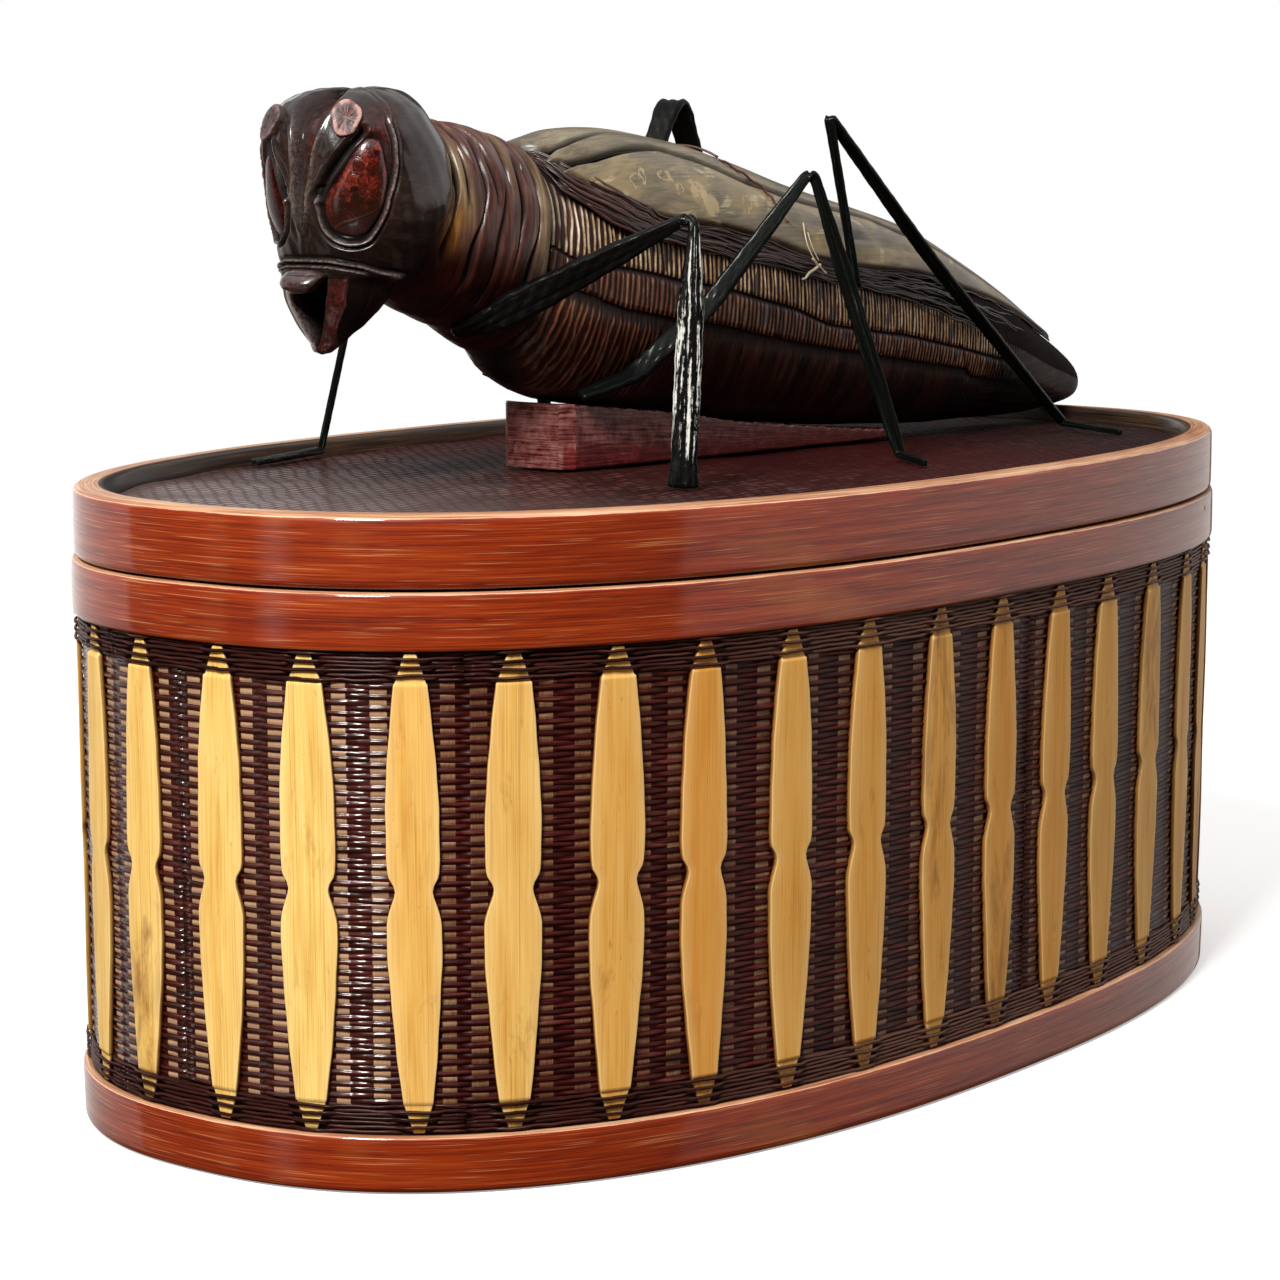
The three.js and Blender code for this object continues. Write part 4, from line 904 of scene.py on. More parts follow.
# ---------------------------------------------------------------- slats, one by one
WZ = [(8.9, 1.0), (13.1, 2.5), (13.3, 2.6), (20.3, 3.5), (28.6, 4.3), (34.0, 4.66), (37, 4.72), (39.8, 4.7), (41.2, 4.45), (42.6, 3.95), (44.0, 3.42), (44.8, 3.28), (45.6, 3.5), (46.8, 4.30), (47.6, 4.5), (49.5, 4.62), (53, 4.6), (57, 4.54), (63.5, 4.2), (69.7, 3.6), (75.1, 2.9), (75.3, 2.7), (79.5, 1.0)]
zs = np.unique(np.concatenate([np.linspace(8.9, 79.5, 74), [13.1, 13.3, 43.4, 44.0, 44.4, 44.8, 45.2, 45.8, 46.4, 46.8, 75.1, 75.3]]))
for nm, i0, i1 in SPANS:
    pile = Pile()
    for i in range(i0, i1):
        g = np.random.default_rng(300 + i)
        k = (0.885 if 17 <= i <= 24 else (0.93 if 25 <= i <= 28 else 0.96)) + g.normal(0, 0.025)
        w = np.interp(zs, [p[0] for p in WZ], [p[1] for p in WZ]) * k
        w = w * (1 + 0.012 * np.sin(zs * 0.31 + i) + 0.008 * np.sin(zs * 0.83 + 2 * i))
        wl, wr = w * (1 + g.normal(0, 0.03)), w * (1 + g.normal(0, 0.03))
        lean = g.normal(0, 0.22)
        bow = g.normal(0, 0.12)
        tip = (zs < 13.2) | (zs > 75.2)
        D = 1.0 + 0.04 * np.sin(zs * 0.2 + i)
        D = np.where(tip, 0.74, D)
        sec = [(-1, 0, 0.30), (-1, 0, -0.10), (-1, 0.10, 0.0), (-1, 0.30, 0.01), (-0.5, 0, 0.02), (0, 0, 0.03), (0.5, 0, 0.02), (1, 0.30, 0.01), (1, 0.10, 0.0), (1, 0, -0.10), (1, 0, 0.30)]
        K = len(sec)
        P = np.empty((len(zs), K, 3))
        cen = CENTRE[i] + lean * (zs - 44) / 32 + bow * np.cos((zs - 44) / 32 * 1.5)
        edge, side = np.zeros((len(zs), K)), np.zeros((len(zs), K))
        svals = np.empty((len(zs), K))
        for c, (f_, inset, d) in enumerate(sec):
            half = wl if f_ < 0 else wr
            s_ = f_ * half - np.sign(f_) * inset
            x, y, nx, ny = at_mm(cen + s_)
            dd = (0.26 if c in (0, K - 1) else D + d)
            o = wall_off(zs) + dd
            P[:, c] = np.stack([x + nx * o, y + ny * o, zs], -1)
            svals[:, c] = s_
            # edge marks the bevels for the painted highlight; side marks the side faces for the painted shade.
            edge[:, c] = 1.0 if c in (2, K - 3) else (0.5 if c in (3, K - 4) else 0)
            side[:, c] = 1.0 if c in (0, K - 1) else (0.6 if c in (1, K - 2) else 0)
        V, Q, T, uq, ut = tube(P, K, zs, np.arange(K + 1))
        uvv = np.concatenate([np.stack([svals + 23.0 * i, np.broadcast_to(zs[:, None] + 31.0 * i, svals.shape)], -1).reshape(-1, 2), [[23.0 * i, 31.0 * i]] * 2])
        # unwrap so that the closing face on the back does not matter
        # Tone per slat: random, and raised for the middle and right front slats as partly painted shade.
        tone = np.full(len(V), np.clip(g.normal(0.12, 0.05) + (0.66 if 28 <= i < 30 else 0.0) + (0.46 if 30 <= i else 0.0) + (0.60 if 24 <= i < 28 else 0.0) + (0.50 if i == 23 else 0.0) + (0.34 if i in (21, 22) else 0.0) + (0.24 if i < 17 else 0), 0, 1))
        stain = np.zeros(len(V))
        if i in (18, 27, 28, 31, 33, 34, 36):
            z_ = V[:, 2]
            stain = smooth(z_, 46, 20) * 0.8 if i in (18, 28, 33) else smooth(z_, 30, 60) * 0.6
        pile.put(V, Q, T, uvv[Q], uvv[T], edge=np.append(edge.ravel(), [0, 0]), side=np.append(side.ravel(), [0, 0]), tone=tone, stain=stain)
    take(pile.make("slats_cut_" + nm, [SLAT]), "basket", "slats_" + nm)


# ---------------------------------------------------------------- wale strands that pass over and behind the slat tips
def strands(name, zlist, node, seed):
    pile = Pile()
    g = np.random.default_rng(seed)
    offs = np.array([-7.4, -5.6, -4.2, -3.3, -2.6, -1.9, -1.0, 0, 1.0, 1.9, 2.6, 3.3, 4.2, 5.6, 7.4])
    K = 6
    for j, zc in enumerate(zlist):
        pos, o, dz = [], [], []
        for i in range(SLATS):
            above = (j + i) % 2 == 0
            zt = zc
            half = 1.0 + 1.7 * (79.5 - zt) / 4.3 if zt > 40 else 1.0 + 1.6 * (zt - 8.9) / 4.3
            for q in offs:
                a = abs(q)
                on = 1 - smooth(a, half + 0.1, half + 2.2)
                pos.append(CENTRE[i] + q)
                o.append(0.48 + on * (0.62 if above else -0.42))
                dz.append(0.0)
        pos, o = np.array(pos), np.array(o)
        o = o + g.normal(0, 0.025, len(o))
        zc_ = zc + 0.09 * np.sin(pos * 0.07 + j) + 0.05 * np.sin(pos * 0.9 + 2 * j) + g.normal(0, 0.03, len(pos))
        x, y, nx, ny = at_mm(pos)
        P = np.empty((len(pos), K, 3))
        for k in range(K):
            a = 2 * np.pi * k / K
            oo = wall_off(zc_) + o + 0.25 * np.cos(a)
            P[:, k] = np.stack([x + nx * oo, y + ny * oo, zc_ + 0.275 * np.sin(a)], -1)
        Q = grid(len(pos), K, True, True)
        uq = grid_uv(np.append(pos, pos[0] + PERIM), np.arange(K + 1) * 0.35 + j * 7.3)
        pile.put(P.reshape(-1, 3), Q, np.zeros((0, 3), int), uq, np.zeros((0, 3, 2)))
    take(pile.make(name, [WALE]), "basket", node)


strands("lower_wale_strands", [9.05 + 0.62 * k for k in range(7)], "lower_wale", 61)
strands("upper_wale_strands", [75.72 + 0.63 * k for k in range(7)], "upper_wale", 62)

# ---------------------------------------------------------------- lid panel: coarse matting
nx_, ny_ = 340, 190
ga, gb = np.meshgrid(np.linspace(-1, 1, nx_ + 1), np.linspace(-1, 1, ny_ + 1), indexing="ij")
AX, BY = A0 - 5.6, B0 - 5.6
px = ga * np.sqrt(1 - gb * gb / 2) * AX
py = gb * np.sqrt(1 - ga * ga / 2) * BY
r2 = np.sqrt((px / AX) ** 2 + (py / BY) ** 2)
qp = (np.abs(px / AX) ** POWER + np.abs(py / BY) ** POWER) ** (1 / POWER)
kk_ = np.where(qp > 1e-6, r2 / np.maximum(qp, 1e-6), 1)
px, py = px * kk_, py * kk_


def mat_relief(x, y):
    yy = y + 0.7 * np.sin(x / 21 + 0.6) + 0.4 * np.sin(x / 9 + y / 14)
    row = np.floor(yy / 2.1)
    fy = yy / 2.1 - row
    xx = x / 3.3 + 0.5 * (row % 2) + 0.35 * np.sin(row * 12.9898) + 0.10 * np.sin(y * 0.7)
    col = np.floor(xx)
    fx = xx - col
    h = (1 - np.abs(2 * fy - 1) ** 2.6) * (1 - 0.8 * np.abs(2 * fx - 1) ** 5)
    r = np.mod(np.sin(row * 127.1 + col * 311.7) * 43758.5453, 1.0)
    return h, r


rel, cellr = mat_relief(px, py)
pz = 96.62 + 0.12 * np.sin(px * 0.21 + py * 0.13) + 0.08 * np.sin(py * 0.37 - px * 0.05) + 0.0 * rel
top = np.stack([px, py, pz], -1).reshape(-1, 3)
n_in = len(top)
gid = np.arange(n_in).reshape(nx_ + 1, ny_ + 1)
loop = np.concatenate([gid[:-1, 0], gid[-1, :-1], gid[:0:-1, -1], gid[0, :0:-1]])
low = top[loop].copy()
low[:, 2] = 95.1
nl = len(loop)
k = np.arange(nl)
Qp = np.concatenate([grid(nx_ + 1, ny_ + 1), np.stack([loop[k], n_in + k, n_in + (k + 1) % nl, loop[(k + 1) % nl]], -1)])
Tp = np.stack([np.full(nl, n_in + nl), n_in + (k + 1) % nl, n_in + k], -1)
Vp = np.concatenate([top, low, [[0, 0, 95.1]]])
pad = np.full(nl + 1, 0.5)
panel = mesh("lid_matting_sheet", Vp, Qp, Tp, [MATTING], uv=Vp[:, :2], attrs={"crest": np.concatenate([rel.ravel(), pad]), "tone": np.concatenate([cellr.ravel(), pad])})
take(panel, "lid", "lid_panel")


# ---------------------------------------------------------------- frame of the insect
def axis_y(x):
    return 12.5 - 0.09 * (x + 25)


def rounded_rect(w, h, r, k=4, mid=3):
    """Points of a rounded rectangle, w and h half sizes, with extra points on the straight sides."""
    P = []
    for cx, cy, a in ((1, -1, -90), (1, 1, 0), (-1, 1, 90), (-1, -1, 180)):
        for q in range(k + 1):
            b = math.radians(a + 90 * q / k)
            P.append((cx * (w - r) + r * math.cos(b), cy * (h - r) + r * math.sin(b)))
        nxt = {(1, -1): (1, 1), (1, 1): (-1, 1), (-1, 1): (-1, -1), (-1, -1): (1, -1)}[(cx, cy)]
        s = P[-1]
        b = math.radians(a + 90)
        e = (nxt[0] * (w - r) + r * math.cos(b), nxt[1] * (h - r) + r * math.sin(b))
        for q in range(1, mid + 1):
            P.append((s[0] + (e[0] - s[0]) * q / (mid + 1), s[1] + (e[1] - s[1]) * q / (mid + 1)))
    return np.array(P)


# plinth
PL = np.array([[-28, 107.9, 5.8], [-26.2, 107.8, 7.5], [0, 105.0, 7.5], [16, 102.5, 7.3], [50, 99.2, 7], [64, 98.2, 6.6]])
xs = np.concatenate([[-28.0, -27.9, -27.5, -26.9, -26.35, -26.15], np.linspace(-25.8, 63.7, 110), [63.95]])
secs, E, Wn = [], [], []
g = np.random.default_rng(77)
for n_, x in enumerate(xs):
    zt, w = np.interp(x, PL[:, 0], PL[:, 1]) + 0.35, np.interp(x, PL[:, 0], PL[:, 2])
    sh = 0.35 if n_ in (0, len(xs) - 1) else 0.0
    h = (zt - 97.15) / 2
    p = rounded_rect(w - sh, h - sh * 0.6, min(0.45, h * 0.6))
    nick = 0.10 * math.sin(x * 1.7) + 0.08 * math.sin(x * 4.1 + 1) + 0.10 * g.random()
    topedge = (np.abs(p[:, 0]) > w - 0.75) & (p[:, 1] > h - 0.75)
    q = p.copy()
    q[topedge] -= np.stack([np.sign(p[topedge, 0]) * nick * 0.6, np.full(topedge.sum(), nick)], -1)
    secs.append(np.stack([np.full(len(q), x), axis_y(x) + q[:, 0], 97.15 + h + q[:, 1]], -1))
    corner = smooth(np.abs(p[:, 0]), w - 0.9, w - 0.1) * smooth(p[:, 1], h - 0.9, h - 0.1)
    E.append(np.maximum(corner, 0.8 if n_ in (0, 1, 2) else (0.85 if 4 <= n_ <= 6 and abs(x + 26.3) < 0.4 else 0)) * np.ones(len(p)))
    Wn.append(np.where(n_ < 2, 0.9, 0.85 * (p[:, 1] > -h * 0.1) * smooth(x, 45, -10)) * np.ones(len(p)))
secs = np.array(secs)
K = secs.shape[1]
arc = np.concatenate([[0], np.cumsum(np.hypot(*(np.diff(np.vstack([rounded_rect(7, 4, 0.45), rounded_rect(7, 4, 0.45)[:1]]), axis=0)).T))])
V, Q, T, uq, ut = tube(secs, K, xs, arc)
uvt = np.stack([V[T][:, :, 1], V[T][:, :, 2]], -1)
plinth = mesh("plinth_block", V, Q, T, [LACQUER], uq, uvt, attrs={"edge": np.append(np.array(E).ravel(), [0, 0]), "wear_and_highlight": np.append(np.array(Wn).ravel(), [0.9, 0])}, flat_t=True)
take(plinth, "lid", "plinth")

# ---------------------------------------------------------------- abdomen
BODY = np.array([[-36.6, 118.2, 149.3, 11.7, 0.19], [-31.5, 112.0, 150.4, 12.8, 0.15], [-25, 108.8, 151.5, 13.8, 0.08], [-15, 107.0, 151.9, 14.6, 0], [0, 105.2, 150.4, 15.2, 0], [16, 102.8, 146.8, 15.3, 0],
                 [32, 101.3, 142.3, 15, 0], [50, 100.0, 138.3, 14.2, 0], [67, 99.1, 134.7, 13.2, 0], [81, 98.8, 129.5, 12, 0], [95, 98.7, 123.2, 10.4, 0], [107, 98.9, 116.9, 8.4, 0], [117, 99.6, 111.8, 6.3, 0], [123.5, 100.6, 107.8, 4.0, 0], [125.6, 101.8, 105.6, 2.0, 0]])


def on_body(x, deg, r, tab=BODY, p=2.1):
    x, deg, r = np.broadcast_arrays(np.asarray(x, float), np.asarray(deg, float), np.asarray(r, float))
    zb, zt, w, lean = (table(x, tab[:, 0], tab[:, k]) for k in (1, 2, 3, 4))
    cz, h = (zb + zt) / 2, (zt - zb) / 2
    c, q, e = np.cos(np.radians(deg)), np.sin(np.radians(deg)), 2 / p
    dz = np.sign(q) * np.abs(q) ** e * (h + r)
    xx = x + lean * dz
    return np.stack([xx, axis_y(xx) + np.sign(c) * np.abs(c) ** e * (w + r), cz + dz], -1)


def line1(x):
    return np.interp(x, [-37, -21, -8, 0, 22, 31, 55, 67, 126], [4, 2.5, -0.8, -1, -2.4, -6, -5, -7, -9])


def line2(x):
    return np.interp(x, [-37, -28, -21, -8, 8, 24, 44, 56, 76, 78, 90, 126], [-9, -10, -14, -17, -17, -17.5, -17.4, -19, -20, -24, -26, -30])


def lower_edge(x):
    return np.interp(x, [-37, -30, -23, -13, 0, 12, 26, 40, 58, 74, 92, 103, 118], [52, 40, 28.5, 21.5, 21, 21.5, 20, 22.5, 27, 28, 38, 44, 50])


def fringe_edge(x):
    return np.interp(x, [-37, -36, -35, -29, -25, -20, -8.5, 7, 12, 38, 54, 70, 90, 118], [60, 50, 37, 26, 20, 15, 13, 11, 13, 13, 13, 8, 6, 2])


# stations: six to each rib
pitch = np.interp(np.linspace(-36.6, 125.6, 4000), [-36.6, 0, 40, 90, 125.6], [1.16, 1.10, 1.02, 0.92, 0.92])
phase = np.concatenate([[0], np.cumsum(np.diff(np.linspace(-36.6, 125.6, 4000)) / pitch[:-1])])
nrib = int(phase[-1])
ph = np.arange(nrib * 6 + 1) / 6
ax_ = np.interp(ph, phase, np.linspace(-36.6, 125.6, 4000))
ax_[-1] = 125.6
SEGS = [(-90, "b", 11), ("line2", "g", 2), ("line2+", "B", 7), ("line1", "g", 2), ("line1+", "A", 9), ("edge", "top", 9)]


def side_degs(x):
    l1, l2, fe = line1(x), line2(x), fringe_edge(x)
    nodes = [np.full_like(x, -90.0), l2 - 0.5, l2 + 0.5, l1 - 0.45, l1 + 0.45, fe + 4, np.full_like(x, 90.0)]
    cnt = [11, 2, 7, 2, 9, 9]
    cols, kind = [], []
    for k in range(6):
        for j in range(cnt[k]):
            cols.append(nodes[k] + (nodes[k + 1] - nodes[k]) * j / cnt[k])
            kind.append(k)
    return np.stack(cols, 1), np.array(kind)


dl, kind = side_degs(ax_)
deg_r = dl
deg_l = 180 - dl
degs = np.concatenate([deg_r, np.full((len(ax_), 1), 90.0), deg_l[:, :0:-1]], 1)
kinds = np.concatenate([kind, [5], kind[:0:-1]])
base_deg = np.concatenate([dl, np.full((len(ax_), 1), 90.0), dl[:, :0:-1]], 1)
X = np.broadcast_to(ax_[:, None], degs.shape)
six = np.arange(len(ax_)) % 6
RIBP = np.array([1.0, 0.72, 0.12, -0.25, 0.12, 0.72])
ribA, ribB = RIBP[six][:, None], RIBP[(six + 3) % 6][:, None]
rib = np.where((kinds == 4)[None, :], ribA, np.where((kinds == 2)[None, :], ribB, 0.0))
bellyrib = (kinds == 0)[None, :] * smooth(-12 - X, -6, 4) * smooth(base_deg, -80, -60)
rib = rib + bellyrib * RIBP[(six + 1) % 6][:, None]
first = (kinds == 1) | (kinds == 3)
amp = np.where((kinds == 4)[None, :], 0.30, np.where((kinds == 2)[None, :], 0.26, 0.24))
groove = np.where(first[None, :], -0.26, 0.0)
fade = 1 - smooth(X, 84, 98)
g = np.random.default_rng(9)
R_ = amp * rib * fade + groove * fade + g.normal(0, 0.015, degs.shape)
R_ += 0.25 * np.sin(X * 0.21 + base_deg * 0.02) * smooth(X, -20, 10) * 0.4
ribno = np.floor((np.arange(len(ax_)) + 3) / 6)[:, None]
waver = 0.22 * np.sin(base_deg / 6.5 + ribno * 1.3) + 0.16 * np.sin(base_deg / 2.9 + ribno * 2.17) + 0.20 * np.sin(ribno * 3.7 + base_deg / 14)
Xw = X + waver * np.where((kinds == 0)[None, :], 0.75, 0.45) * fade * smooth(X, -36.5, -34)
lost = smooth(np.sin(ribno * 12.9 + base_deg / 9) + 0.6 * np.sin(ribno * 5.1 + base_deg / 4), 1.0, 1.35)
R_ = R_ - lost * 0.5 * amp * np.clip(rib, 0, 1) * fade
Pb = on_body(np.clip(Xw, -36.6, 125.6), degs, R_)
K = degs.shape[1]
V, Q, T, uq, ut = tube(Pb, K, ax_, np.linspace(0, 90, K + 1))
two = [0, 0]
att = {
    "rib": np.append(np.clip(rib * fade * (1 - 0.45 * lost), -0.3, 1).ravel(), two),
    "band_b": np.append(np.broadcast_to(((kinds == 2) | (kinds == 1))[None, :], degs.shape).ravel(), two),
    "band_c": np.append((bellyrib > 0.1).ravel(), two),
    "belly": np.append(np.clip((kinds == 0)[None, :] * (1 - (bellyrib > 0.1)), 0, 1).ravel(), [1, 1]),
    "tail": np.append((smooth(X - 0.10 * base_deg, 80, 92) * np.ones_like(degs)).ravel(), [0, 1]),
    # dark: painted shade under the wings and at the front end by the collar, and the dark band grooves.
    "dark": np.append(np.clip(first[None, :] * 0.97 * fade + smooth(base_deg, 0, 4) * (base_deg > fringe_edge(X)) * 0.9 + smooth(-X, 33.5, 35.5) * 0.7, 0, 1).ravel(), [1, 1]),
}
abdomen = mesh("abdomen_woven", V, Q, T, [ABDOMEN_M], uq, ut, attrs=att)
take(abdomen, "lid", "abdomen")

# ---------------------------------------------------------------- collar with carved rings
COLLAR = np.array([[-66, 129.5, 150.5, 8.8, 0], [-64, 128, 151.5, 10, 0], [-60, 126, 154, 11.5, 0], [-55, 123.8, 155.3, 12.3, 0.03], [-50, 122.3, 154.9, 12.6, 0.07], [-45, 120.5, 153.8, 12.6, 0.12], [-41, 118.6, 152.1, 12.4, 0.17], [-38.2, 117.5, 151.2, 12.2, 0.19], [-37.3, 117.6, 150.7, 11.9, 0.19], [-36.9, 118.2, 150.6, 11.3, 0.19]])
cx_ = np.linspace(-66, -36.9, 190)
cd_ = np.linspace(0, 360, 193)[:-1]
CX, CD = np.meshgrid(cx_, cd_, indexing="ij")
near = np.where(CD <= 90, CD, np.where(CD <= 270, 180 - CD, CD - 360))       # height angle, both sides alike
sidev = np.where((CD > 90) & (CD < 270), 0.0, 1.3)
wave = 0.7 * np.sin(np.radians(near) * 3.1 + sidev) + 0.35 * np.sin(np.radians(near) * 7.3 + 2 * sidev)
RINGS = [(-58.2, -30, 90, 0.55, 1.0, 0.12), (-55.9, 8, 62, 0.50, 0.5, 0.05), (-54.2, 25, 90, 0.45, 0.9, -0.10), (-52.6, -45, 55, 0.45, 1.3, 0.10), (-50.6, 12, 90, 0.60, 1.0, -0.06), (-48.4, -60, 25, 0.30, 0.7, 0.05), (-47.2, 22, 80, 0.50, 1.4, 0.14), (-44.6, -20, 48, 0.38, 0.8, 0.0), (-43.2, 30, 88, 0.45, 1.0, -0.08), (-40.6, -70, 90, 0.42, 0.7, 0.03)]
# dark_c marks the ring grooves for painted shade.
disp, dark_c = np.zeros_like(CX), np.zeros_like(CX)
for x0, d0, d1, depth, wv, tilt in RINGS:
    xc = x0 + wv * wave * 0.8 + tilt * (near - 30) * 0.25
    act = smooth(near, d0 - 8, d0 + 14) * (1 - smooth(near, d1 - 14, d1 + 8))
    w_ = 0.38 + 0.22 * np.sin(np.radians(near) * 5 + x0)
    g_ = bell(CX - xc, w_) * act
    disp -= depth * 1.9 * g_
    disp += 0.32 * bell(CX - xc - 1.25, 0.9) * act
    dark_c = np.maximum(dark_c, g_ * min(1, depth * 2.6))
disp += 0.10 * np.sin(CX * 0.9 + wave * 2 + near * 0.03)
Pc = on_body(CX, CD, disp, COLLAR)
# under: lower part of the collar, for the painted shade there.
low_c = 1 - smooth(near, -30, 2)
amb = bell(CX + 58.6 - 0.03 * near, 2.2) * smooth(near, -46, -28) * (1 - smooth(near, -6, 14))
oli = np.clip(0.75 * bell(CX + 56.6 + 0.02 * near, 1.9) * smooth(near, -12, 8) * (1 - smooth(near, 42, 62)) + 0.85 * bell(CX + 38.6, 1.6) * smooth(near, -35, 0) * (1 - smooth(near, 50, 75)) + 0.35 * bell(CX + 45.8, 1.2) * smooth(near, 5, 30), 0, 1)
V, Q, T, uq, ut = tube(Pc, len(cd_), cx_, np.linspace(0, 80, len(cd_) + 1))
collar = mesh("thorax_collar_carved", V, Q, T, [COLLAR_M], uq, ut, attrs={"dark": np.append(dark_c.ravel(), two), "amber": np.append(amb.ravel(), two), "olive": np.append(oli.ravel(), two), "under": np.append(low_c.ravel(), two)})
take(collar, "lid", "thorax_collar")

# ---------------------------------------------------------------- head
HEAD = np.array([[118.55, -76.0, 0.15, 0.15], [118.9, -75.9, 1.0, 1.0], [120.5, -74.9, 2.45, 2.5], [124, -73.5, 5.15, 5.75], [127.5, -72.5, 7.05, 8.1], [129.8, -71.8, 7.75, 8.95], [131.2, -69.7, 9.65, 10.9], [133.5, -69.1, 10.25, 11.55], [137, -68.2, 11.4, 12.8], [143, -67.5, 13.15, 14.7],
                 [149.8, -68.4, 13.0, 14.45], [154.7, -69.6, 11.5, 12.9], [158.1, -69.9, 9.3, 11.0], [160.0, -69.4, 6.0, 7.8], [160.7, -69.1, 2.3, 3.3], [160.9, -69.1, 0.2, 0.2]])
_hl = np.concatenate([[0], np.cumsum(np.hypot(np.diff(HEAD[:, 0]), np.diff(HEAD[:, 3])))])


def head_at(L):
    return [table(L, _hl, HEAD[:, k]) for k in range(4)]


_Ld = np.linspace(0, _hl[-1], 4000)
_tab = [c.copy() for c in head_at(_Ld)]
_step = _Ld[1] - _Ld[0]
_ker = np.exp(-(np.arange(-220, 221) * _step / 1.9) ** 2)
_ker /= _ker.sum()
_mixw = smooth(_tab[0], 134.2, 137.0) * (1 - smooth(_tab[0], 158.5, 160.8))
for _k in (1, 2, 3):
    _c = np.convolve(np.pad(_tab[_k], 220, mode="edge"), _ker, mode="valid")
    _tab[_k] = _tab[_k] * (1 - _mixw) + _c * _mixw
_zd = _tab[0]


def head_surface(a, z=None, L=None):
    if L is None:
        L = np.interp(z, _zd, _Ld)
    z, cx, p, q = (np.interp(L, _Ld, c) for c in _tab)
    ar = np.radians(a)
    n = 2.15
    rho = (np.abs(np.cos(ar)) ** n + np.abs(np.sin(ar)) ** n) ** (-1 / n)
    x = cx - p * rho * np.cos(ar)
    v = -q * rho * np.sin(ar)
    return np.stack([x, v, z + 0 * v], -1)


def head_normal(a, L):
    da, dL = 0.8, 0.05
    u = head_surface(a + da, L=L) - head_surface(a - da, L=L)
    w = head_surface(a, L=np.minimum(L + dL, _hl[-1])) - head_surface(a, L=np.maximum(L - dL, 0))
    n = np.cross(u, w)
    n /= np.maximum(np.linalg.norm(n, axis=-1, keepdims=True), 1e-9)
    c = head_surface(a, L=L) - np.array([-69.5, 0, 141])
    return np.where((n * c).sum(-1, keepdims=True) < 0, -n, n)


def median(z):
    return np.interp(z, [138, 144, 147, 152, 157, 161], [0, 2, 5, 9, 11, 12])


def flat(am, z):
    return np.radians(am) * np.interp(z, HEAD[2:13, 0], (HEAD[2:13, 2] + HEAD[2:13, 3]) / 2)


def poly_flat(pts):
    p = np.array(pts, float)
    return np.stack([flat(p[:, 0] - median(p[:, 1]), p[:, 1]), p[:, 1]], -1)


def refine(pts, closed=False, k=6):
    """Catmull-Rom through the points."""
    p = np.asarray(pts, float)
    n = len(p)
    out = []
    for i in range(n if closed else n - 1):
        a, b, c, d = (p[(i + j) % n] if closed else p[min(max(i + j, 0), n - 1)] for j in (-1, 0, 1, 2))
        for q in range(k):
            t = q / k
            out.append(0.5 * (2 * b + (c - a) * t + (2 * a - 5 * b + 4 * c - d) * t * t + (3 * b - a - 3 * c + d) * t ** 3))
    if not closed:
        out.append(p[-1])
    return np.array(out)


def dist_line(px, py, pts, closed=False):
    d = np.full(px.shape, 1e9)
    m = len(pts)
    for i in range(m if closed else m - 1):
        a, b = pts[i], pts[(i + 1) % m]
        e = b - a
        t = np.clip(((px - a[0]) * e[0] + (py - a[1]) * e[1]) / max(e @ e, 1e-9), 0, 1)
        d = np.minimum(d, np.hypot(px - a[0] - t * e[0], py - a[1] - t * e[1]))
    return d


def inside(px, py, pts):
    c = np.zeros(px.shape, bool)
    m = len(pts)
    for i in range(m):
        a, b = pts[i], pts[(i + 1) % m]
        cross = (a[1] > py) != (b[1] > py)
        with np.errstate(divide="ignore", invalid="ignore"):
            xi = (b[0] - a[0]) * (py - a[1]) / (b[1] - a[1]) + a[0]
        c ^= cross & (px < xi)
    return c


RIM_L = refine(poly_flat([(60, 160.2), (67, 158.8), (71, 155), (68, 150.3), (65, 146.9), (59, 142.8), (55, 139), (49, 136.5), (36, 135.9), (24, 136.8), (16, 139), (14, 142.5), (16, 144.4)]))
CUT_L = refine(poly_flat([(15, 143.6), (22, 146.4), (32, 149.4), (41, 151.8), (49, 153.6)]))
EYE_AZ = [(51, 152.8), (60, 152.2), (61, 148.8), (60, 145), (55, 140.6), (47, 137.3), (35, 136.9), (22, 138.0), (17, 140.6), (18, 143.1), (29, 146.9), (42, 151)]
EYE_L = refine(poly_flat(EYE_AZ), True, 4)


def density(z):
    return np.interp(z, [118, 119.5, 121, 129.5, 130.4, 134.3, 135.5, 156, 161.4], [0.10, 0.2, 0.26, 0.22, 0.11, 0.11, 0.18, 0.19, 0.16])


Ls, L = [0.0], 0.0
while L < _hl[-1] - 0.05:
    z_here = float(np.interp(L, _Ld, _zd))
    L += float(density(z_here)) * (1.0 if z_here < 158 else 1.4)
    Ls.append(min(L, _hl[-1]))
Ls = np.array(Ls)
aa = [-180.0]
while aa[-1] < 180:
    aa.append(aa[-1] + (0.95 if abs(aa[-1]) < 98 else (2.0 if abs(aa[-1]) < 115 else 4.0)))
aa = np.array(aa[:-1]) + (180 - aa[-1]) / len(aa) * np.arange(len(aa) - 1)
HA, HL = np.meshgrid(aa, Ls, indexing="ij")
HP = head_surface(HA, L=HL)
HN = head_normal(HA, HL)
HZ = HP[..., 2]
AM = HA - median(HZ)
AM = np.where(AM < -180, AM + 360, AM)
AB = np.abs(AM)
FX = flat(AB, HZ)
front = 1 - smooth(np.abs(HA), 100, 120)
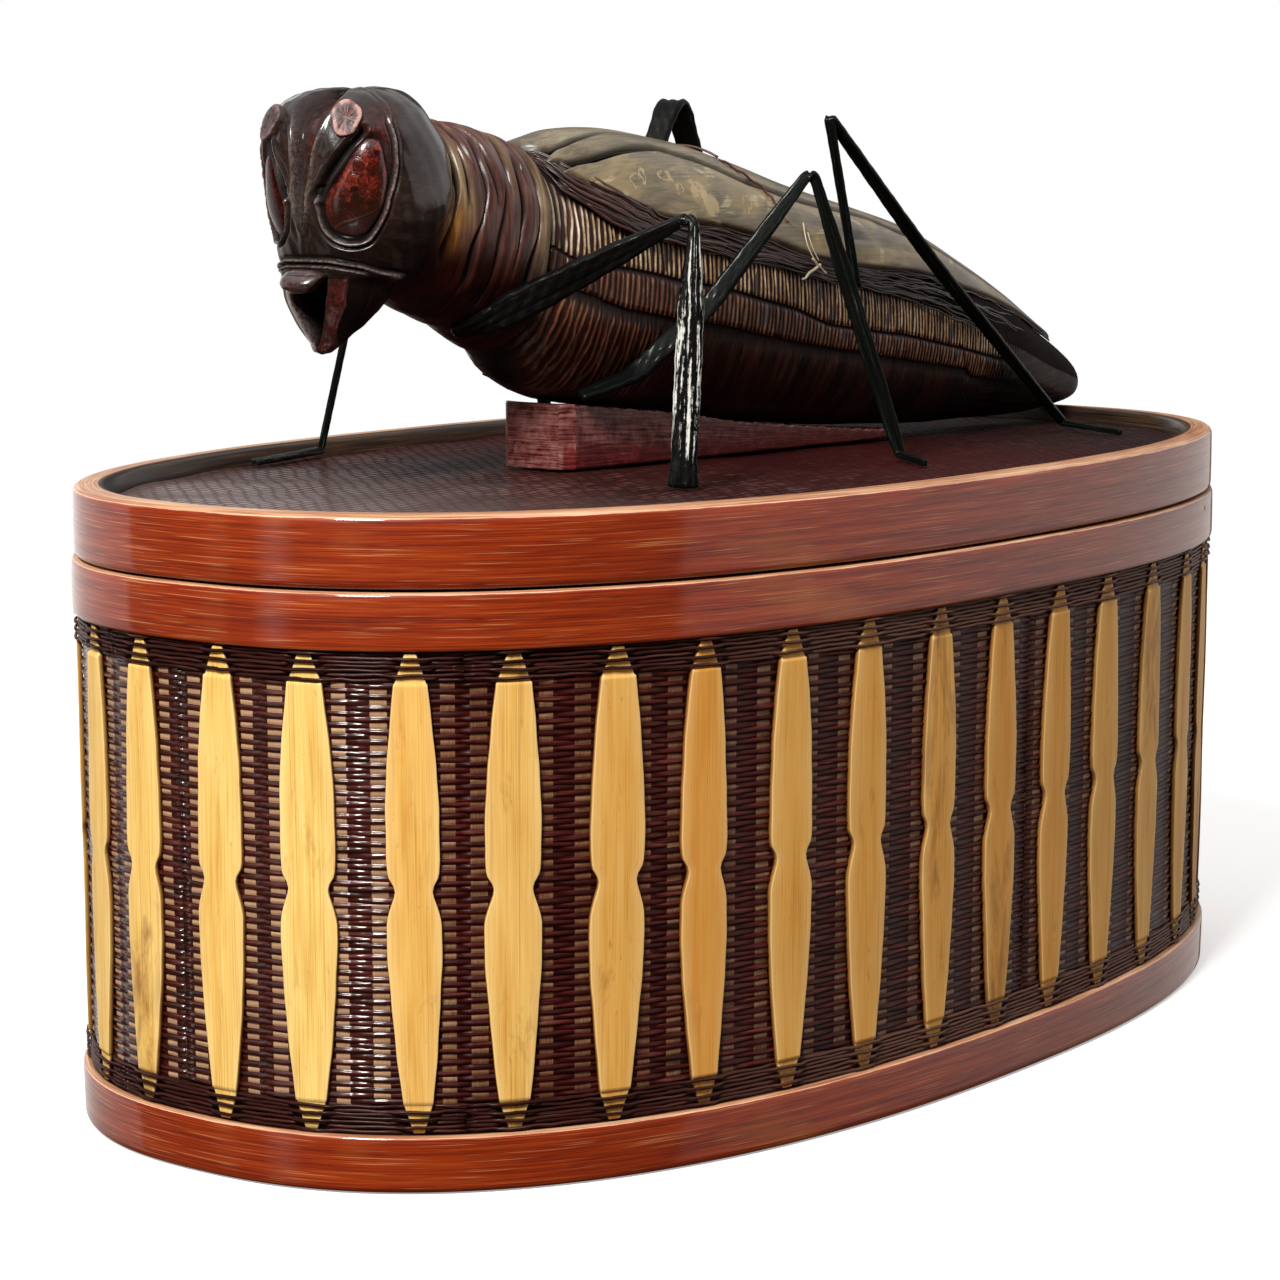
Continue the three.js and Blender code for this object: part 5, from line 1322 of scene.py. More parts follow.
# channel between the brows
cw = np.interp(HZ, [137.6, 139.5, 141.5, 144.5, 147, 150, 152.5, 155, 157.5, 160, 161.3], [1.5, 3.0, 4.6, 5.2, 6.2, 7.2, 9.5, 13, 17.5, 24, 30])
cdep = np.interp(HZ, [137.6, 140, 143, 148, 152.5, 155, 158, 160, 161.3], [0, 0.4, 0.7, 1.1, 1.5, 1.8, 2.1, 2.1, 1.6])
inner_ = 1 - smooth(AB / cw, 0.70, 1.06)
D = -cdep * inner_
ridge = bell(AB - cw, 2.2) * np.interp(HZ, [137, 139, 142, 152, 155, 158], [0, 0.35, 0.55, 0.5, 0.2, 0.0])
D += ridge
D += 0.35 * bell(AB, 4.0) * bell(HZ - 137.2, 2.6)                        # lower end of the nose ridge
# domed brow between the channel and the eye
D += 0.55 * bell(FX - 4.6, 2.6) * bell(HZ - 149.5, 5.0) * front
# eye: bead, groove along its upper edge, hollow for the ball
d_rim = dist_line(FX, HZ, RIM_L)
d_cut = dist_line(FX, HZ, CUT_L)
d_eye = dist_line(FX, HZ, EYE_L, True)
in_eye = inside(FX, HZ, EYE_L)
sd = np.where(in_eye, -d_eye, d_eye)
topfade = 1 - smooth(HZ, 153.5, 156.5)
bead = bell(d_rim, 0.18) * topfade
D += 0.32 * bead - 0.42 * bell(d_rim - 0.55, 0.24) * front * (0.3 + 0.7 * topfade)
D -= 1.25 * bell(d_cut, 0.50)
D += 0.34 * bell(d_cut - 1.15, 0.42)
D -= 0.75 * (1 - smooth(sd, -0.4, 0.7))
# double band over the mouth
z1 = np.interp(np.abs(HA), [0, 22, 49, 65, 94, 112], [133.35, 133.3, 132.4, 131.5, 130.7, 130.3])
z2 = np.interp(np.abs(HA), [0, 22, 43, 60], [132.45, 132.35, 131.7, 131.1])
f1, f2 = 1 - smooth(np.abs(HA), 90, 104), 1 - smooth(np.abs(HA), 46, 58)
b1, b2 = bell(HZ - z1, 0.24) * f1, bell(HZ - z2, 0.20) * f2
D += 0.42 * b1 + 0.34 * b2 - 0.30 * bell(HZ - (z1 + z2) / 2, 0.16) * f2 - 0.25 * bell(HZ - z1 - 0.62, 0.28) * f1
# mandible facet and its crease
vv = np.abs(HP[..., 1])
crease = np.interp(HZ, [119, 120.6, 126.6, 129.8, 131], [1.3, 2.5, 6.1, 6.7, 6.9])
jaw = smooth(HZ, 131.0, 130.2) * (HP[..., 0] < -73.5)
D += 0.30 * bell(vv - crease, 0.35) * jaw
D -= 0.25 * smooth(vv, crease + 0.2, crease + 1.6) * jaw
g = np.random.default_rng(21)
D += 0.035 * np.sin(HP[..., 0] * 1.9 + HP[..., 2] * 0.9) + 0.03 * np.sin(HP[..., 1] * 2.3 - HP[..., 2] * 1.3)
NP = HP + HN * D[..., None]
# mouth: pushed straight in
mw = np.interp(HZ, [119.2, 120, 122, 124, 126, 128, 131], [0.12, 0.6, 1.75, 2.7, 3.5, 4.0, 4.1])
mw_far = mw * 0.92
wv_ = np.where(HP[..., 1] < 0, mw, mw_far)
cut = smooth(wv_ - vv, 0.0, 0.55) * smooth(HZ, 119.3, 120.2) * (1 - smooth(HZ, 130.3, 130.9)) * (HP[..., 0] < -72.5) * (np.abs(HA) < 70)
NP[..., 0] += 8.0 * cut * smooth(HZ, 118.8, 124)
edge_m = bell(vv - wv_ - 0.15, 0.30) * (HZ < 130.2) * (np.abs(HA) < 70)
crown = smooth(HZ, 153.5, 158.5)
NP[..., 2] -= crown * (0.85 * bell(HP[..., 1] + 0.6, 3.0) + 0.55 * smooth(HP[..., 1], 1, 7))
W_head = NP.copy()
W_head[..., 1] += axis_y(NP[..., 0])
redm = np.clip(inner_ * smooth(HZ, 146, 152) * 0.8 + jaw * smooth(vv, wv_ - 0.3, wv_ + 0.2) * (1 - smooth(vv, crease - 0.3, crease + 0.5)) * 0.95 + 0.75 * bell(FX - 11.0, 2.8) * bell(HZ - 154.5, 3.2) * front + 0.5 * (1 - smooth(np.abs(sd), 0.6, 2.2)) * (sd > 0) * smooth(FX, 6, 10), 0, 1)
# Painted shade in the channel, the grooves, the eye hollow, the mouth and the jaw sides.
painted_shade_m = np.clip(0.60 * inner_ * (1 - bell(AB, 2.0)) + cut * 1.6 + 1.2 * bell(d_cut, 0.46) + 0.95 * bell(d_rim - 0.55, 0.20) * front * (0.2 + 0.8 * topfade) + 0.8 * bell(HZ - (z1 + z2) / 2, 0.15) * f2 + 0.85 * (1 - smooth(sd, -0.2, 0.55)) + 0.7 * bell(HZ - z1 - 0.6, 0.2) * f1 + 0.75 * (1 - smooth(HZ, 120, 129)) * smooth(vv, crease, crease + 1.5), 0, 1)
# Painted highlight on the eye bead, the nose ridges, the mouth bands and the near mouth edge.
painted_highlight_m = np.clip(0.62 * bead * front * np.where(HA < 0, 0.3, 1.0) + 0.65 * ridge * smooth(HZ, 138, 142) + 0.42 * np.maximum(b1, b2) + 0.6 * edge_m * (HP[..., 1] > 0) , 0, 1)
na, nL = HA.shape
V = W_head.reshape(-1, 3)
Q = grid(na, nL, True, False)
uq = grid_uv(np.append(aa, 180) * 0.26, Ls)
i_ = np.arange(na)
V = np.concatenate([V, W_head[:, 0].mean(0)[None], W_head[:, -1].mean(0)[None]])
T = np.concatenate([np.stack([np.full(na, na * nL), ((i_ + 1) % na) * nL, i_ * nL], -1), np.stack([np.full(na, na * nL + 1), i_ * nL + nL - 1, ((i_ + 1) % na) * nL + nL - 1], -1)])
# low: painted shade towards the bottom of the head.
head = mesh("head_carved", V, Q, T, [HEAD_M], uq, None, attrs={"red": np.append(redm.ravel(), two), "dark": np.append(painted_shade_m.ravel(), two), "wear_and_highlight": np.append(painted_highlight_m.ravel(), two), "low": np.append((1 - smooth(HZ, 132.0, 144)).ravel() * np.where(redm > 0.5, 0.3, 1.0).ravel(), two)})
take(head, "lid", "head")


def on_head(a, z, h):
    """World point h above the plain head surface at angle a and height z."""
    L = np.interp(z, _zd, _Ld)
    P = head_surface(a, L=L) + head_normal(a, L) * np.asarray(h)[..., None]
    P[..., 1] += axis_y(P[..., 0])
    return P


# eyeballs
eo = np.array(EYE_AZ, float)
eo[:, 0] -= median(eo[:, 1])
eo = refine(eo, True, 6)
ec = np.array([36.5, 144.6])
for nm, sg in (("left", 1), ("right", -1)):
    nr = 26
    rr = np.sin(np.linspace(0, 1, nr) * np.pi / 2)[1:]
    M = len(eo)
    am = ec[0] + rr[:, None] * (eo[:, 0] - ec[0])[None, :] * 0.985
    zq = ec[1] + rr[:, None] * (eo[:, 1] - ec[1])[None, :] * 0.985
    if sg < 0:
        zq = 136.6 + (zq - 136.6) * 0.82
    peak = 1.45 if sg > 0 else 0.85
    h = -0.95 + peak * np.sqrt(np.clip(1 - rr ** 2.3, 0, 1))[:, None] * np.ones((1, M))
    P = on_head(am * sg + median(zq), zq, h)
    c_top = on_head(np.array([ec[0] * sg + float(median(ec[1]))]), np.array([ec[1]]), np.array([peak - 0.951]))
    c_low = on_head(np.array([ec[0] * sg + float(median(ec[1]))]), np.array([ec[1]]), np.array([-2.2]))
    low_ring = on_head(am[-1] * sg + median(zq[-1]), zq[-1], np.full(M, -1.9))
    n1 = len(rr)
    V = np.concatenate([P.reshape(-1, 3), low_ring, c_top, c_low])
    Q = np.concatenate([grid(n1 + 1, M, False, True)])
    k = np.arange(M)
    T = np.concatenate([np.stack([np.full(M, (n1 + 1) * M), k, (k + 1) % M], -1), np.stack([np.full(M, (n1 + 1) * M + 1), n1 * M + (k + 1) % M, n1 * M + k], -1)])
    # Darker towards the bottom and the rim of the ball; on the far eye the whole ball is darkened as painted shade.
    upm = np.concatenate([(smooth(zq, 137.5, 152) * (1 - 0.55 * rr[:, None] ** 5)).ravel(), np.zeros(M), [0.5, 0]]) * (1.0 if sg > 0 else 0.45)
    eye = mesh("eye_ball_" + nm, V, Q, T, [EYE_M if sg > 0 else EYE_FAR_M], attrs={"up": upm})
    take(eye, "lid", "eye_" + nm)

# antenna stubs: short cut stems with a rough face
for nm, a0, z0 in (("left", 39.3, 155.2), ("right", -24.0, 154.6)):
    n1, M = 10, 40
    t = np.arange(M) / M * 2 * np.pi
    prof_ = [(0.30, 0.95), (0.62, 1.0), (0.86, 1.12), (0.95, 1.08), (1.0, 0.85), (1.02, 0.4), (1.04, 0.0), (1.06, -0.8)]
    rings_, sd_ = [], []
    g = np.random.default_rng(5 if nm == "left" else 6)
    lump = 1 + 0.05 * np.sin(3 * t + 1) + 0.04 * np.sin(5 * t)
    for q, hgt in prof_:
        a_ = a0 + (q * lump * 9.8) * np.sign(np.cos(t)) * np.abs(np.cos(t)) ** 0.85 * (1 + 0.16 * np.sin(t)) + 1.5 * q * np.sin(t)
        z_ = np.minimum(z0 + q * lump * 2.6 * np.sin(t), 159.6)
        hh = hgt + (0.08 * g.normal(0, 1, M) if q < 0.9 else 0) * np.ones(M)
        rings_.append(on_head(a_, z_, hh))
        sd_.append(np.full(M, 0.0 if q < 0.97 else 1.0))
    P = np.array(rings_)
    V = np.concatenate([P.reshape(-1, 3), on_head(np.array([a0]), np.array([z0]), np.array([0.92])), on_head(np.array([a0]), np.array([z0]), np.array([-1.0]))])
    m_ = len(prof_)
    k = np.arange(M)
    Q = grid(m_, M, False, True)
    T = np.concatenate([np.stack([np.full(M, m_ * M), k, (k + 1) % M], -1), np.stack([np.full(M, m_ * M + 1), (m_ - 1) * M + (k + 1) % M, (m_ - 1) * M + k], -1)])
    # rim marks the edge of the cut face for the painted highlight.
    stub = mesh("antenna_stub_cut_" + nm, V, Q, T, [STUB_M], attrs={"side": np.append(np.array(sd_).ravel(), [0, 1]), "rim": np.append(np.repeat([1.0 if 0.84 < q < 0.99 else 0.0 for q, _ in prof_], M), [0, 0]), "grey": np.full(len(V), 0.0 if nm == "left" else 1.0)})
    take(stub, "lid", "antenna_stub_" + nm)

# labrum: a small lobe that hangs over the mouth
n1, M = 14, 44
t = np.arange(M) / M * 2 * np.pi
rr = np.sin(np.linspace(0.06, 1, n1) * np.pi / 2)
am = rr[:, None] * 21.0 * (np.sign(np.cos(t)) * np.abs(np.cos(t)) ** 0.8)[None, :]
zc = 130.5
zq = zc + rr[:, None] * np.where(np.sin(t) > 0, 1.55, 2.25)[None, :] * (np.sign(np.sin(t)) * np.abs(np.sin(t)) ** 0.9)[None, :]
h = 0.1 + 1.25 * np.sqrt(np.clip(1 - rr ** 2.6, 0, 1))[:, None] * np.ones((1, M)) + 0.45 * (zq > 129)
P = on_head(am, zq, h)
P[..., 0] -= np.interp(zq, [127, 129.8, 131.2, 133], [1.7, 1.5, 0.15, 0.0])
low_ring = P[-1].copy()
low_ring[:, 0] += 1.6
V = np.concatenate([P.reshape(-1, 3), low_ring, P[0].mean(0)[None] + [[-0.03, 0, 0]], low_ring.mean(0)[None]])
Q = grid(n1 + 1, M, False, True)
k = np.arange(M)
T = np.concatenate([np.stack([np.full(M, (n1 + 1) * M), k, (k + 1) % M], -1), np.stack([np.full(M, (n1 + 1) * M + 1), n1 * M + (k + 1) % M, n1 * M + k], -1)])
lab = mesh("labrum_lobe", V, Q, T, [LABRUM_M])
take(lab, "lid", "labrum")


# ---------------------------------------------------------------- wings
def seam2(x):
    return np.interp(x, [-34, -26, -18, -7.6, 3.5, 13, 25, 40, 50, 58, 75, 105, 118], [53.5, 53, 57, 62, 57, 53, 55, 60, 62, 56, 55, 55, 58])


def seam1(x):
    return np.interp(x, [-34, -27, -15, 0, 30, 60, 90, 105, 118], [67, 69.5, 77, 82, 84, 80, 75, 70, 74])


def seam3(x):
    return np.interp(x, [16, 18, 22, 35, 57, 62], [39.2, 38.6, 37, 40, 40, 39])


def wing(name, lo, hi, x0, x1, node, mirror=False, crack=None, mott=0.0, gap=1.1, n=150, m=20, r0=0.55, r1=2.05):
    x = np.linspace(x0, x1, n)
    u = (x - x0) / (x1 - x0)
    l_, h_ = lo(x) + gap, hi(x) - gap
    mid_ = (l_ + h_) / 2
    pinch = np.clip(np.minimum((u / 0.02) ** 0.5, ((1 - u) / 0.11) ** 0.6), 0.02, 1)
    l_, h_ = mid_ + (l_ - mid_) * pinch, mid_ + (h_ - mid_) * pinch
    q = (1 - np.cos(np.linspace(0, np.pi, m))) / 2
    d = l_[:, None] + (h_ - l_)[:, None] * q[None, :]
    Xq = np.broadcast_to(x[:, None], d.shape)
    edge_ = np.minimum(q, 1 - q)[None, :] * np.abs(h_ - l_)[:, None] * 0.26
    r = r1 - 1.1 * np.exp(-(edge_ / 0.24) ** 2) + 0.12 * np.sin(Xq * 0.09 + d * 0.05)
    r = r + 0.25 * np.sin(np.pi * q)[None, :] * np.minimum(1, (h_ - l_)[:, None] / 30) - 0.85 * smooth(Xq, 45, 85)
    # dk: painted shade along the slat edges at the seams and in the crack; the undersides get it in full.
    dk = np.clip(np.exp(-(edge_ / 0.30) ** 2) * 1.0, 0, 1)
    if crack is not None:
        c = bell((d - crack(Xq)) * 0.26, 0.22) * smooth(Xq, 15, 20) * (1 - smooth(Xq, 55, 62))
        r = r - 0.8 * c
        dk = np.maximum(dk, c)
    dd = 180 - d if mirror else d
    top_ = on_body(Xq, dd, r)
    bot_ = on_body(Xq, dd, np.full_like(r, r0))
    P = np.concatenate([top_, bot_[:, ::-1]], 1)
    K = 2 * m
    V, Q, T, uq, ut = tube(P, K, x, np.linspace(0, 40, K + 1))
    dk2 = np.concatenate([dk, np.ones_like(dk)], 1)
    o = mesh(name, V, Q, T, [WING_M], uq, ut, attrs={"dark": np.append(dk2.ravel(), two), "mottle": np.full(len(V), mott)})
    take(o, "lid", node)


for side, mir in (("left", True), ("right", False)):
    wing("wing_slat_low_" + side, lower_edge, seam2, -33.5, 112, "wing_lower_" + side, mir, crack=seam3, mott=1.0)
    wing("wing_slat_high_" + side, seam2, seam1, -35.2, 115, "wing_upper_" + side, mir, mott=0.25)
wing("wing_slat_ridge", seam1, lambda x: 180 - seam1(x), -36, 118, "wing_ridge", False, mott=0.0)


# ---------------------------------------------------------------- strands under the wings, cord and broken tie
def strand_path(pts_xyz, rad, K=6):
    """A thin round strand through the points, closed with a point at each end."""
    p = np.asarray(pts_xyz, float)
    d = np.gradient(p, axis=0)
    d /= np.maximum(np.linalg.norm(d, axis=1, keepdims=True), 1e-9)
    upv = np.array([0, 0, 1.0])
    s = np.cross(d, upv)
    s /= np.maximum(np.linalg.norm(s, axis=1, keepdims=True), 1e-9)
    n = np.cross(s, d)
    rad = np.broadcast_to(np.asarray(rad, float), (len(p),)).copy()
    a = np.arange(K) / K * 2 * np.pi
    P = p[:, None] + rad[:, None, None] * (np.cos(a)[None, :, None] * s[:, None] + np.sin(a)[None, :, None] * n[:, None])
    L = np.concatenate([[0], np.cumsum(np.linalg.norm(np.diff(p, axis=0), axis=1))])
    return tube(P, K, L, np.arange(K + 1) * (2 * np.pi * rad.mean() / K))


for side, mir in (("left", True), ("right", False)):
    pile = Pile()
    g = np.random.default_rng(700 + mir)
    for k in range(66):
        f_ = (k + 0.5) / 66
        x0 = -36.5 + max(0, g.normal(0, 4)) + (0 if k % 3 else g.uniform(0, 30))
        x1 = g.uniform(30, 98) if k % 4 else g.uniform(5, 40)
        n = int((x1 - x0) / 1.6) + 2
        x = np.linspace(x0, x1, n)
        fe = fringe_edge(x)
        le = np.where(x < -16, np.interp(x, [-37, -34.8, -33.6, -32.7, -26, -16], [90, 80, 62, 52, 36, 26.5]), lower_edge(x))
        f2_ = f_ + 0.10 * np.sin(x * g.uniform(0.05, 0.16) + g.uniform(0, 6)) + 0.03 * np.sin(x * 0.7 + k)
        deg = fe + (le + 1.5 - fe) * f2_
        r = 0.45 + 0.65 * g.random() + 0.30 * np.sin(x * 0.2 + k) + 0.8 * bell(x + 22, 9)
        rad = (0.12 + 0.12 * g.random() + 0.24 * bell(x + 24, 12) * g.random()) * np.clip(np.minimum((x - x0) / 4 + 0.25, (x1 - x) / 5 + 0.2), 0.15, 1)
        P = on_body(x, 180 - deg if mir else deg, r)
        V, Q, T, uq, ut = strand_path(P, rad)
        pile.put(V, Q, T, uq, ut, tone=float(np.clip(g.normal(0.42, 0.2) + (0.35 if k % 9 == 0 else 0), 0, 1)))
    take(pile.make("fringe_strands_" + side, [FIBRE]), "lid", "fibre_fringe_" + side)

pile = Pile()
pd = refine([(10.5, 68), (12.3, 63), (14.6, 57), (17.2, 50), (18.2, 43), (18.9, 38), (19.4, 33)], False, 5)
P = on_body(pd[:, 0], 180 - pd[:, 1], 2.35 + 0.15 * np.sin(pd[:, 1]))
V, Q, T, uq, ut = strand_path(P, 0.22, 8)
pile.put(V, Q, T, uq, ut, tone=0.5)
pd = np.array([[10.5 - 0.05 * (d - 68), d] for d in np.linspace(68, 112, 20)])
P = on_body(pd[:, 0], 180 - pd[:, 1], 2.55)
V, Q, T, uq, ut = strand_path(P, 0.22, 8)
pile.put(V, Q, T, uq, ut, tone=0.5)
take(pile.make("binding_cord_turn", [CORD]), "lid", "wing_binding")

pile = Pile()
for pts, rad, r in (([(24.2, 36), (23.4, 30), (23.2, 24), (24.2, 19), (25.8, 15.5)], 0.15, 2.5), ([(26.2, 17.5), (24.5, 14.8), (22.6, 12.2), (21.4, 9.6), (20.4, 8.6)], 0.30, 2.2), ([(24.3, 31), (24.2, 27), (24.5, 23), (25.4, 18.5)], 0.13, 2.6), ([(27.4, 14.0), (25.6, 16.4), (24.0, 19.0)], 0.24, 2.3)):
    pd = refine(pts, False, 5)
    P = on_body(pd[:, 0], 180 - pd[:, 1], r)
    V, Q, T, uq, ut = strand_path(P, rad * np.linspace(1, 0.7, len(pd)), 7)
    pile.put(V, Q, T, uq, ut, tone=0.6)
tie = pile.make("broken_tie", [TWINE])
take(tie, "lid", "wing_binding")


# ---------------------------------------------------------------- legs: flat bamboo strips bent over heat
def strap(name, pts, widths, node, mat, side=(0.6, -0.8, 0), thick=1.2, bend=2.2, ridges=0.0, chip=None, step=0.7):
    """pts: corner points; widths: (share of the way, width) pairs."""
    p = [np.array(q, float) for q in pts]
    path = [p[0]]
    for i in range(1, len(p) - 1):
        a, b, c = p[i - 1], p[i], p[i + 1]
        la, lc = np.linalg.norm(a - b), np.linalg.norm(c - b)
        r = min(bend if np.isscalar(bend) else bend[i - 1], la * 0.45, lc * 0.45)
        s, e = b + (a - b) / la * r, b + (c - b) / lc * r
        for t in np.linspace(0, 1, 9):
            path.append(s * (1 - t) ** 2 + 2 * b * t * (1 - t) + e * t * t)
    path.append(p[-1])
    path = np.array(path)
    L = np.concatenate([[0], np.cumsum(np.linalg.norm(np.diff(path, axis=0), axis=1))])
    LL = np.unique(np.concatenate([np.arange(0, L[-1], step), L]))
    LL = LL[np.concatenate([[True], np.diff(LL) > 0.12])]
    C = np.stack([np.interp(LL, L, path[:, k]) for k in range(3)], -1)
    d = np.gradient(C, axis=0)
    d /= np.linalg.norm(d, axis=1, keepdims=True)
    S = np.array(side, float)
    S /= np.linalg.norm(S)
    u = S[None, :] - d * (d @ S)[:, None]
    u /= np.linalg.norm(u, axis=1, keepdims=True)
    nrm = np.cross(u, d)
    u_ = LL / LL[-1]
    w = np.interp(u_, [a for a, _ in widths], [b for _, b in widths]) / 2
    g = np.random.default_rng(len(name) * 7 + int(abs(p[0][0]) * 10))
    wob = 1 + 0.025 * np.sin(LL * 0.9 + g.uniform(0, 6)) + 0.018 * np.sin(LL * 2.3)
    w = w * wob
    cr = np.array([(1.0, -0.55), (1.0, 0.35), (0.9, 0.86), (0.72, 1.0), (0.45, 1.03), (0.18, 1.05), (-0.1, 1.05), (-0.4, 1.03), (-0.7, 1.0), (-0.9, 0.86), (-1.0, 0.35), (-1.0, -0.55), (-0.86, -0.95), (-0.4, -1.0), (0.1, -1.0), (0.5, -1.0), (0.86, -0.95)])
    K = len(cr)
    P = np.empty((len(LL), K, 3))
    for k, (a, b) in enumerate(cr):
        lift = b * thick / 2
        rg = 0.0
        if b > 0.9 and ridges:
            rg = ridges * (0.6 * math.cos(a * 9.5) + 0.25) * smooth(w, 1.2, 1.9) + 0.09 * np.sin(LL * 1.9 + a * 7) * smooth(w, 1.2, 1.9)
        jit = 0.03 * np.sin(LL * 1.3 + k * 2.1)
        P[:, k] = C + u * (a * w)[:, None] + nrm * (lift + rg + jit)[:, None]
    cap = np.stack([P[0].mean(0) + (P[0] - P[0].mean(0)) * 0.7 - d[0] * 0.2, P[-1].mean(0) + (P[-1] - P[-1].mean(0)) * 0.7 + d[-1] * 0.2])
    P = np.concatenate([cap[:1], P, cap[1:]])
    LLc = np.concatenate([[-0.2], LL, [LL[-1] + 0.2]])
    V, Q, T, uq, ut = tube(P, K, LLc, np.concatenate([np.cumsum([0] + [0.5] * K)]))
    ch = np.zeros(len(LLc)) if chip is None else np.interp(LLc / LL[-1], [a for a, _ in chip], [b for _, b in chip])
    o = mesh(name, V, Q, T, [mat], uq, ut, attrs={"chip": np.append(np.repeat(ch, K), two)}, flat_t=True)
    take(o, "lid", node)
    return o


FL_ = 97.45
strap("front_left_leg_strip", [(-49.5, 12.0, 121.2), (-47.5, 6.5, 122.9), (-32.4, -24, 140.4), (-39.6, -27, 97.3)], [(0, 2.2), (0.06, 4.6), (0.13, 5.6), (0.2, 5.3), (0.34, 4.1), (0.44, 2.6), (0.485, 1.8), (0.51, 1.7), (0.56, 2.5), (0.66, 4.2), (0.80, 4.4), (0.955, 4.2), (0.96, 4.9), (1, 4.8)], "front_left_leg", LEG_CHIPS_AND_GLINTS, thick=1.5, bend=(2.0, 2.8), ridges=0.42, chip=[(0, -1.0), (0.44, -0.8), (0.49, 0.5), (0.60, 0.8), (0.90, 1.0), (0.95, 0.2), (1, 0)])
strap("middle_left_leg_strip", [(-26.5, 3.6, 109.8), (-21.0, 0.6, 111.8), (-16.9, -1.0, 113.4), (-11.1, -4.9, 119.6), (-4.7, -7.0, 124.3), (9.7, -18, 147.2), (24.2, -27, 97.95), (17.9, -36.1, FL_)], [(0, 2.4), (0.05, 3.4), (0.22, 3.5), (0.40, 2.6), (0.46, 2.0), (0.50, 1.9), (0.62, 2.9), (0.80, 2.8), (0.885, 2.5), (0.90, 2.0), (0.93, 1.7), (1, 1.0)], "middle_left_leg", LEG_DULL, thick=1.1, bend=(2.0, 2.0, 3.5, 3.5, 2.6, 0.9), ridges=0.10, chip=[(0, 0.3), (1, 0.3)])
strap("hind_left_leg_strip", [(37.4, -9.0, 126.2), (24.2, -11.6, 156.1), (54.5, -12.6, 131.6), (100.6, -15, 97.95), (93.6, -31.4, FL_)], [(0, 1.7), (0.20, 1.7), (0.225, 2.0), (0.26, 2.2), (0.45, 2.6), (0.65, 2.5), (0.84, 1.9), (0.87, 1.8), (0.89, 1.5), (1, 0.9)], "hind_left_leg", LEG_DULL, thick=1.1, bend=(1.3, 12, 0.9), ridges=0.10, chip=[(0, 0.6), (0.2, 0.7), (0.3, 0.2), (1, 0.4)])
strap("front_right_leg_strip", [(-42.5, 15.5, 120.8), (-33.3, 43.5, 140.4), (-29.8, 59, 97.95), (-50, 56, FL_)], [(0, 5.0), (0.2, 4.4), (0.32, 2.2), (0.36, 1.7), (0.5, 2.3), (0.75, 2.4), (0.80, 2.1), (1, 1.6)], "front_right_leg", LEG_DULL, side=(0.8, 0.6, 0), thick=1.2, bend=(1.8, 0.9), ridges=0.1, chip=[(0, 0.2), (0.75, 0.4), (0.85, 1.4), (1, 1.4)])
strap("middle_right_leg_strip", [(-24.5, 25.4, 113), (9.7, 36.8, 146), (24.2, 43.2, 97.95), (17.9, 53.4, FL_)], [(0, 3.4), (0.2, 3.0), (0.40, 2.4), (0.455, 1.9), (0.50, 1.8), (0.62, 2.9), (0.80, 2.8), (0.885, 2.4), (0.93, 1.8), (1, 1.1)], "middle_right_leg", LEG_DULL, side=(0.7, 0.7, 0), thick=1.1, bend=(1.8, 0.9), ridges=0.1, chip=[(0, 0.3), (1, 0.3)])
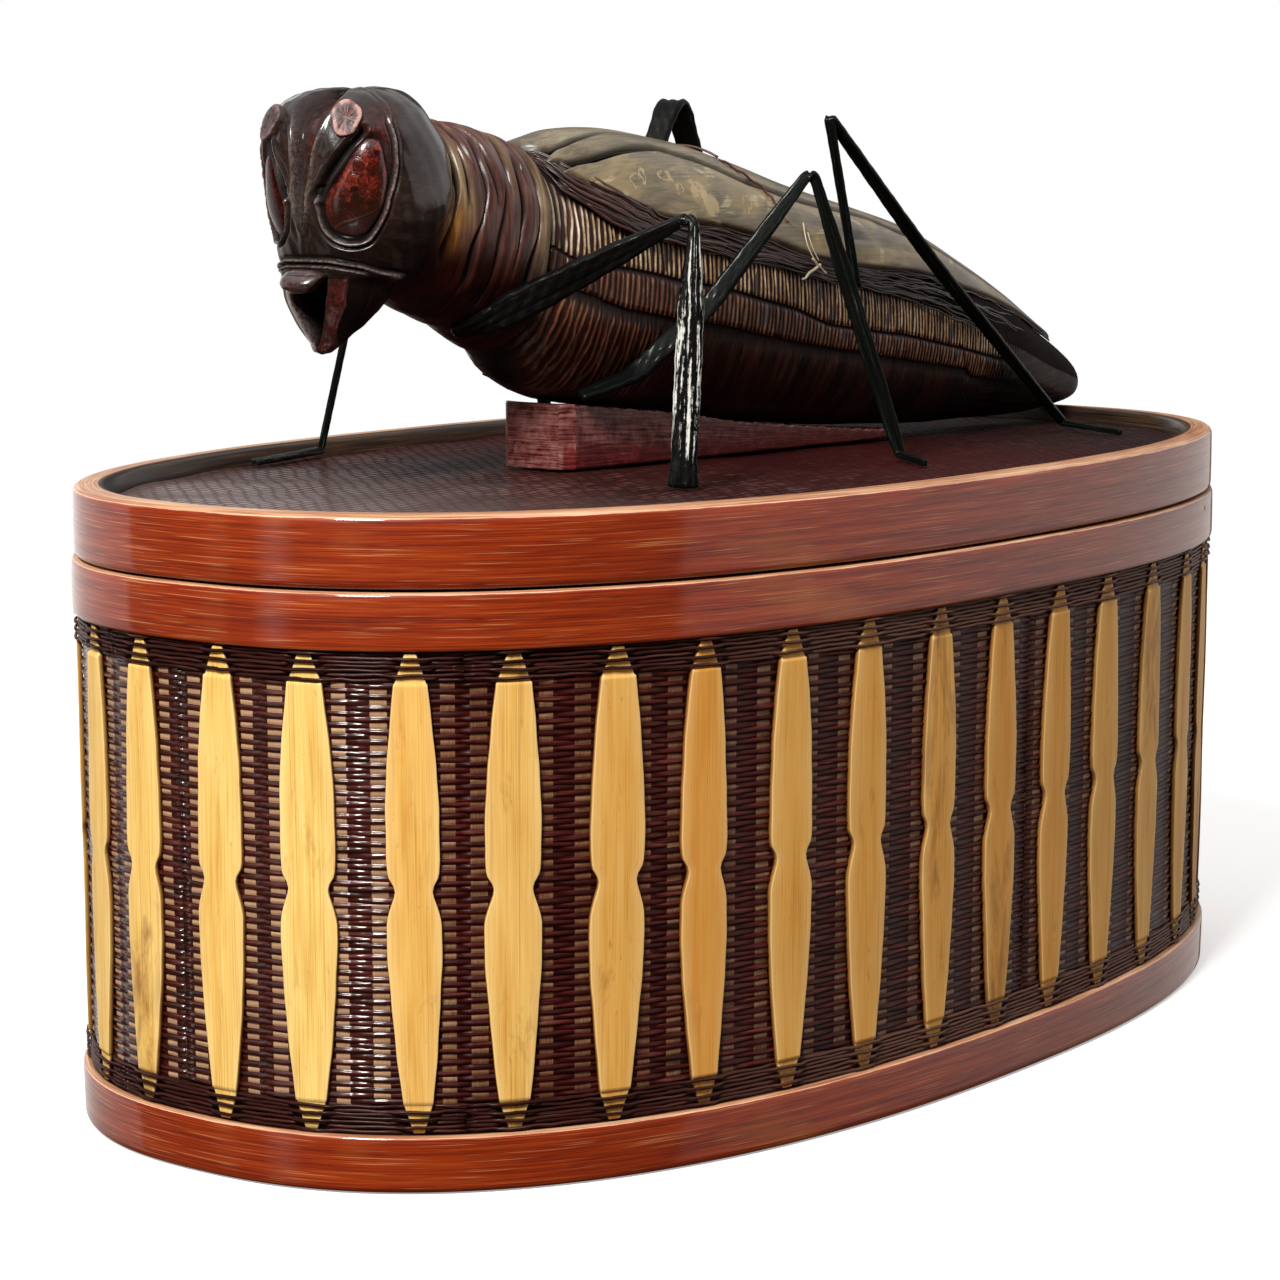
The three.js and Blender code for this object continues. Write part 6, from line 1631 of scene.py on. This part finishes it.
strap("hind_right_leg_strip", [(12.5, 27.0, 127), (31.4, 27.2, 161.3), (72, 36, 97.95), (70, 50, FL_)], [(0, 3.4), (0.25, 4.2), (0.31, 4.6), (0.335, 4.6), (0.37, 4.5), (0.45, 4.0), (0.7, 3.1), (0.86, 2.2), (0.9, 1.9), (1, 1.1)], "hind_right_leg", LEG_DULL, thick=1.2, bend=(6.5, 0.9), ridges=0.1, chip=[(0, 0.2), (1, 0.2)])


# ---------------------------------------------------------------- nodes kept from the frame
def finish_node(node, mat, bevel=0.0):
    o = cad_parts[node]
    for s in o.material_slots:
        s.material = mat
    if not o.material_slots:
        o.data.materials.append(mat)
    if bevel:
        w = o.modifiers.new("weld", "WELD")
        w.merge_threshold = 1e-6
        b = o.modifiers.new("edge", "BEVEL")
        b.width = bevel
        b.segments = 2
        b.limit_method = "ANGLE"


for n in ("base_panel", "base_inner_hoop", "mouth_inner_hoop", "lid_inner_hoop"):
    finish_node(n, INNER)
for n in ("hoop_pin_1", "hoop_pin_2", "hoop_pin_3"):
    finish_node(n, INNER, 0.0001)
tz = np.array([103.6, 103.8, 104.5, 107.6, 108.3, 109.2, 110.6, 110.8])
tr = np.array([1.1, 1.25, 1.25, 1.22, 1.12, 1.3, 1.3, 1.1])
ta = np.arange(28) / 28 * 2 * np.pi
P = np.stack([-25.3 + tr[:, None] * np.cos(ta), axis_y(-25.3) + tr[:, None] * np.sin(ta), np.broadcast_to(tz[:, None], (8, 28))], -1)
V, Q, T, uq, ut = tube(P, 28, tz, np.arange(29) * 0.28)
peg = mesh("belly_peg_front", V, Q, T, [LEG_DULL], uq, ut, attrs={"chip": np.zeros(len(V))}, flat_t=True)
take(peg, "lid", "belly_peg_1")
for n in ("belly_peg_2", "plinth_nail_1", "plinth_nail_2"):
    finish_node(n, INNER)

# ---------------------------------------------------------------- floor
nf = 96
t = np.arange(nf) / nf * 2 * np.pi
Vf = np.concatenate([np.stack([620 * np.cos(t), 620 * np.sin(t), np.full(nf, -0.2)], -1), [[0, 0, -0.2]]])
Tf = np.stack([np.full(nf, nf), np.arange(nf), (np.arange(nf) + 1) % nf], -1)
floor = mesh("floor", Vf, None, Tf, [make_floor()], closed=False)
floor.visible_diffuse = False
floor.visible_glossy = False
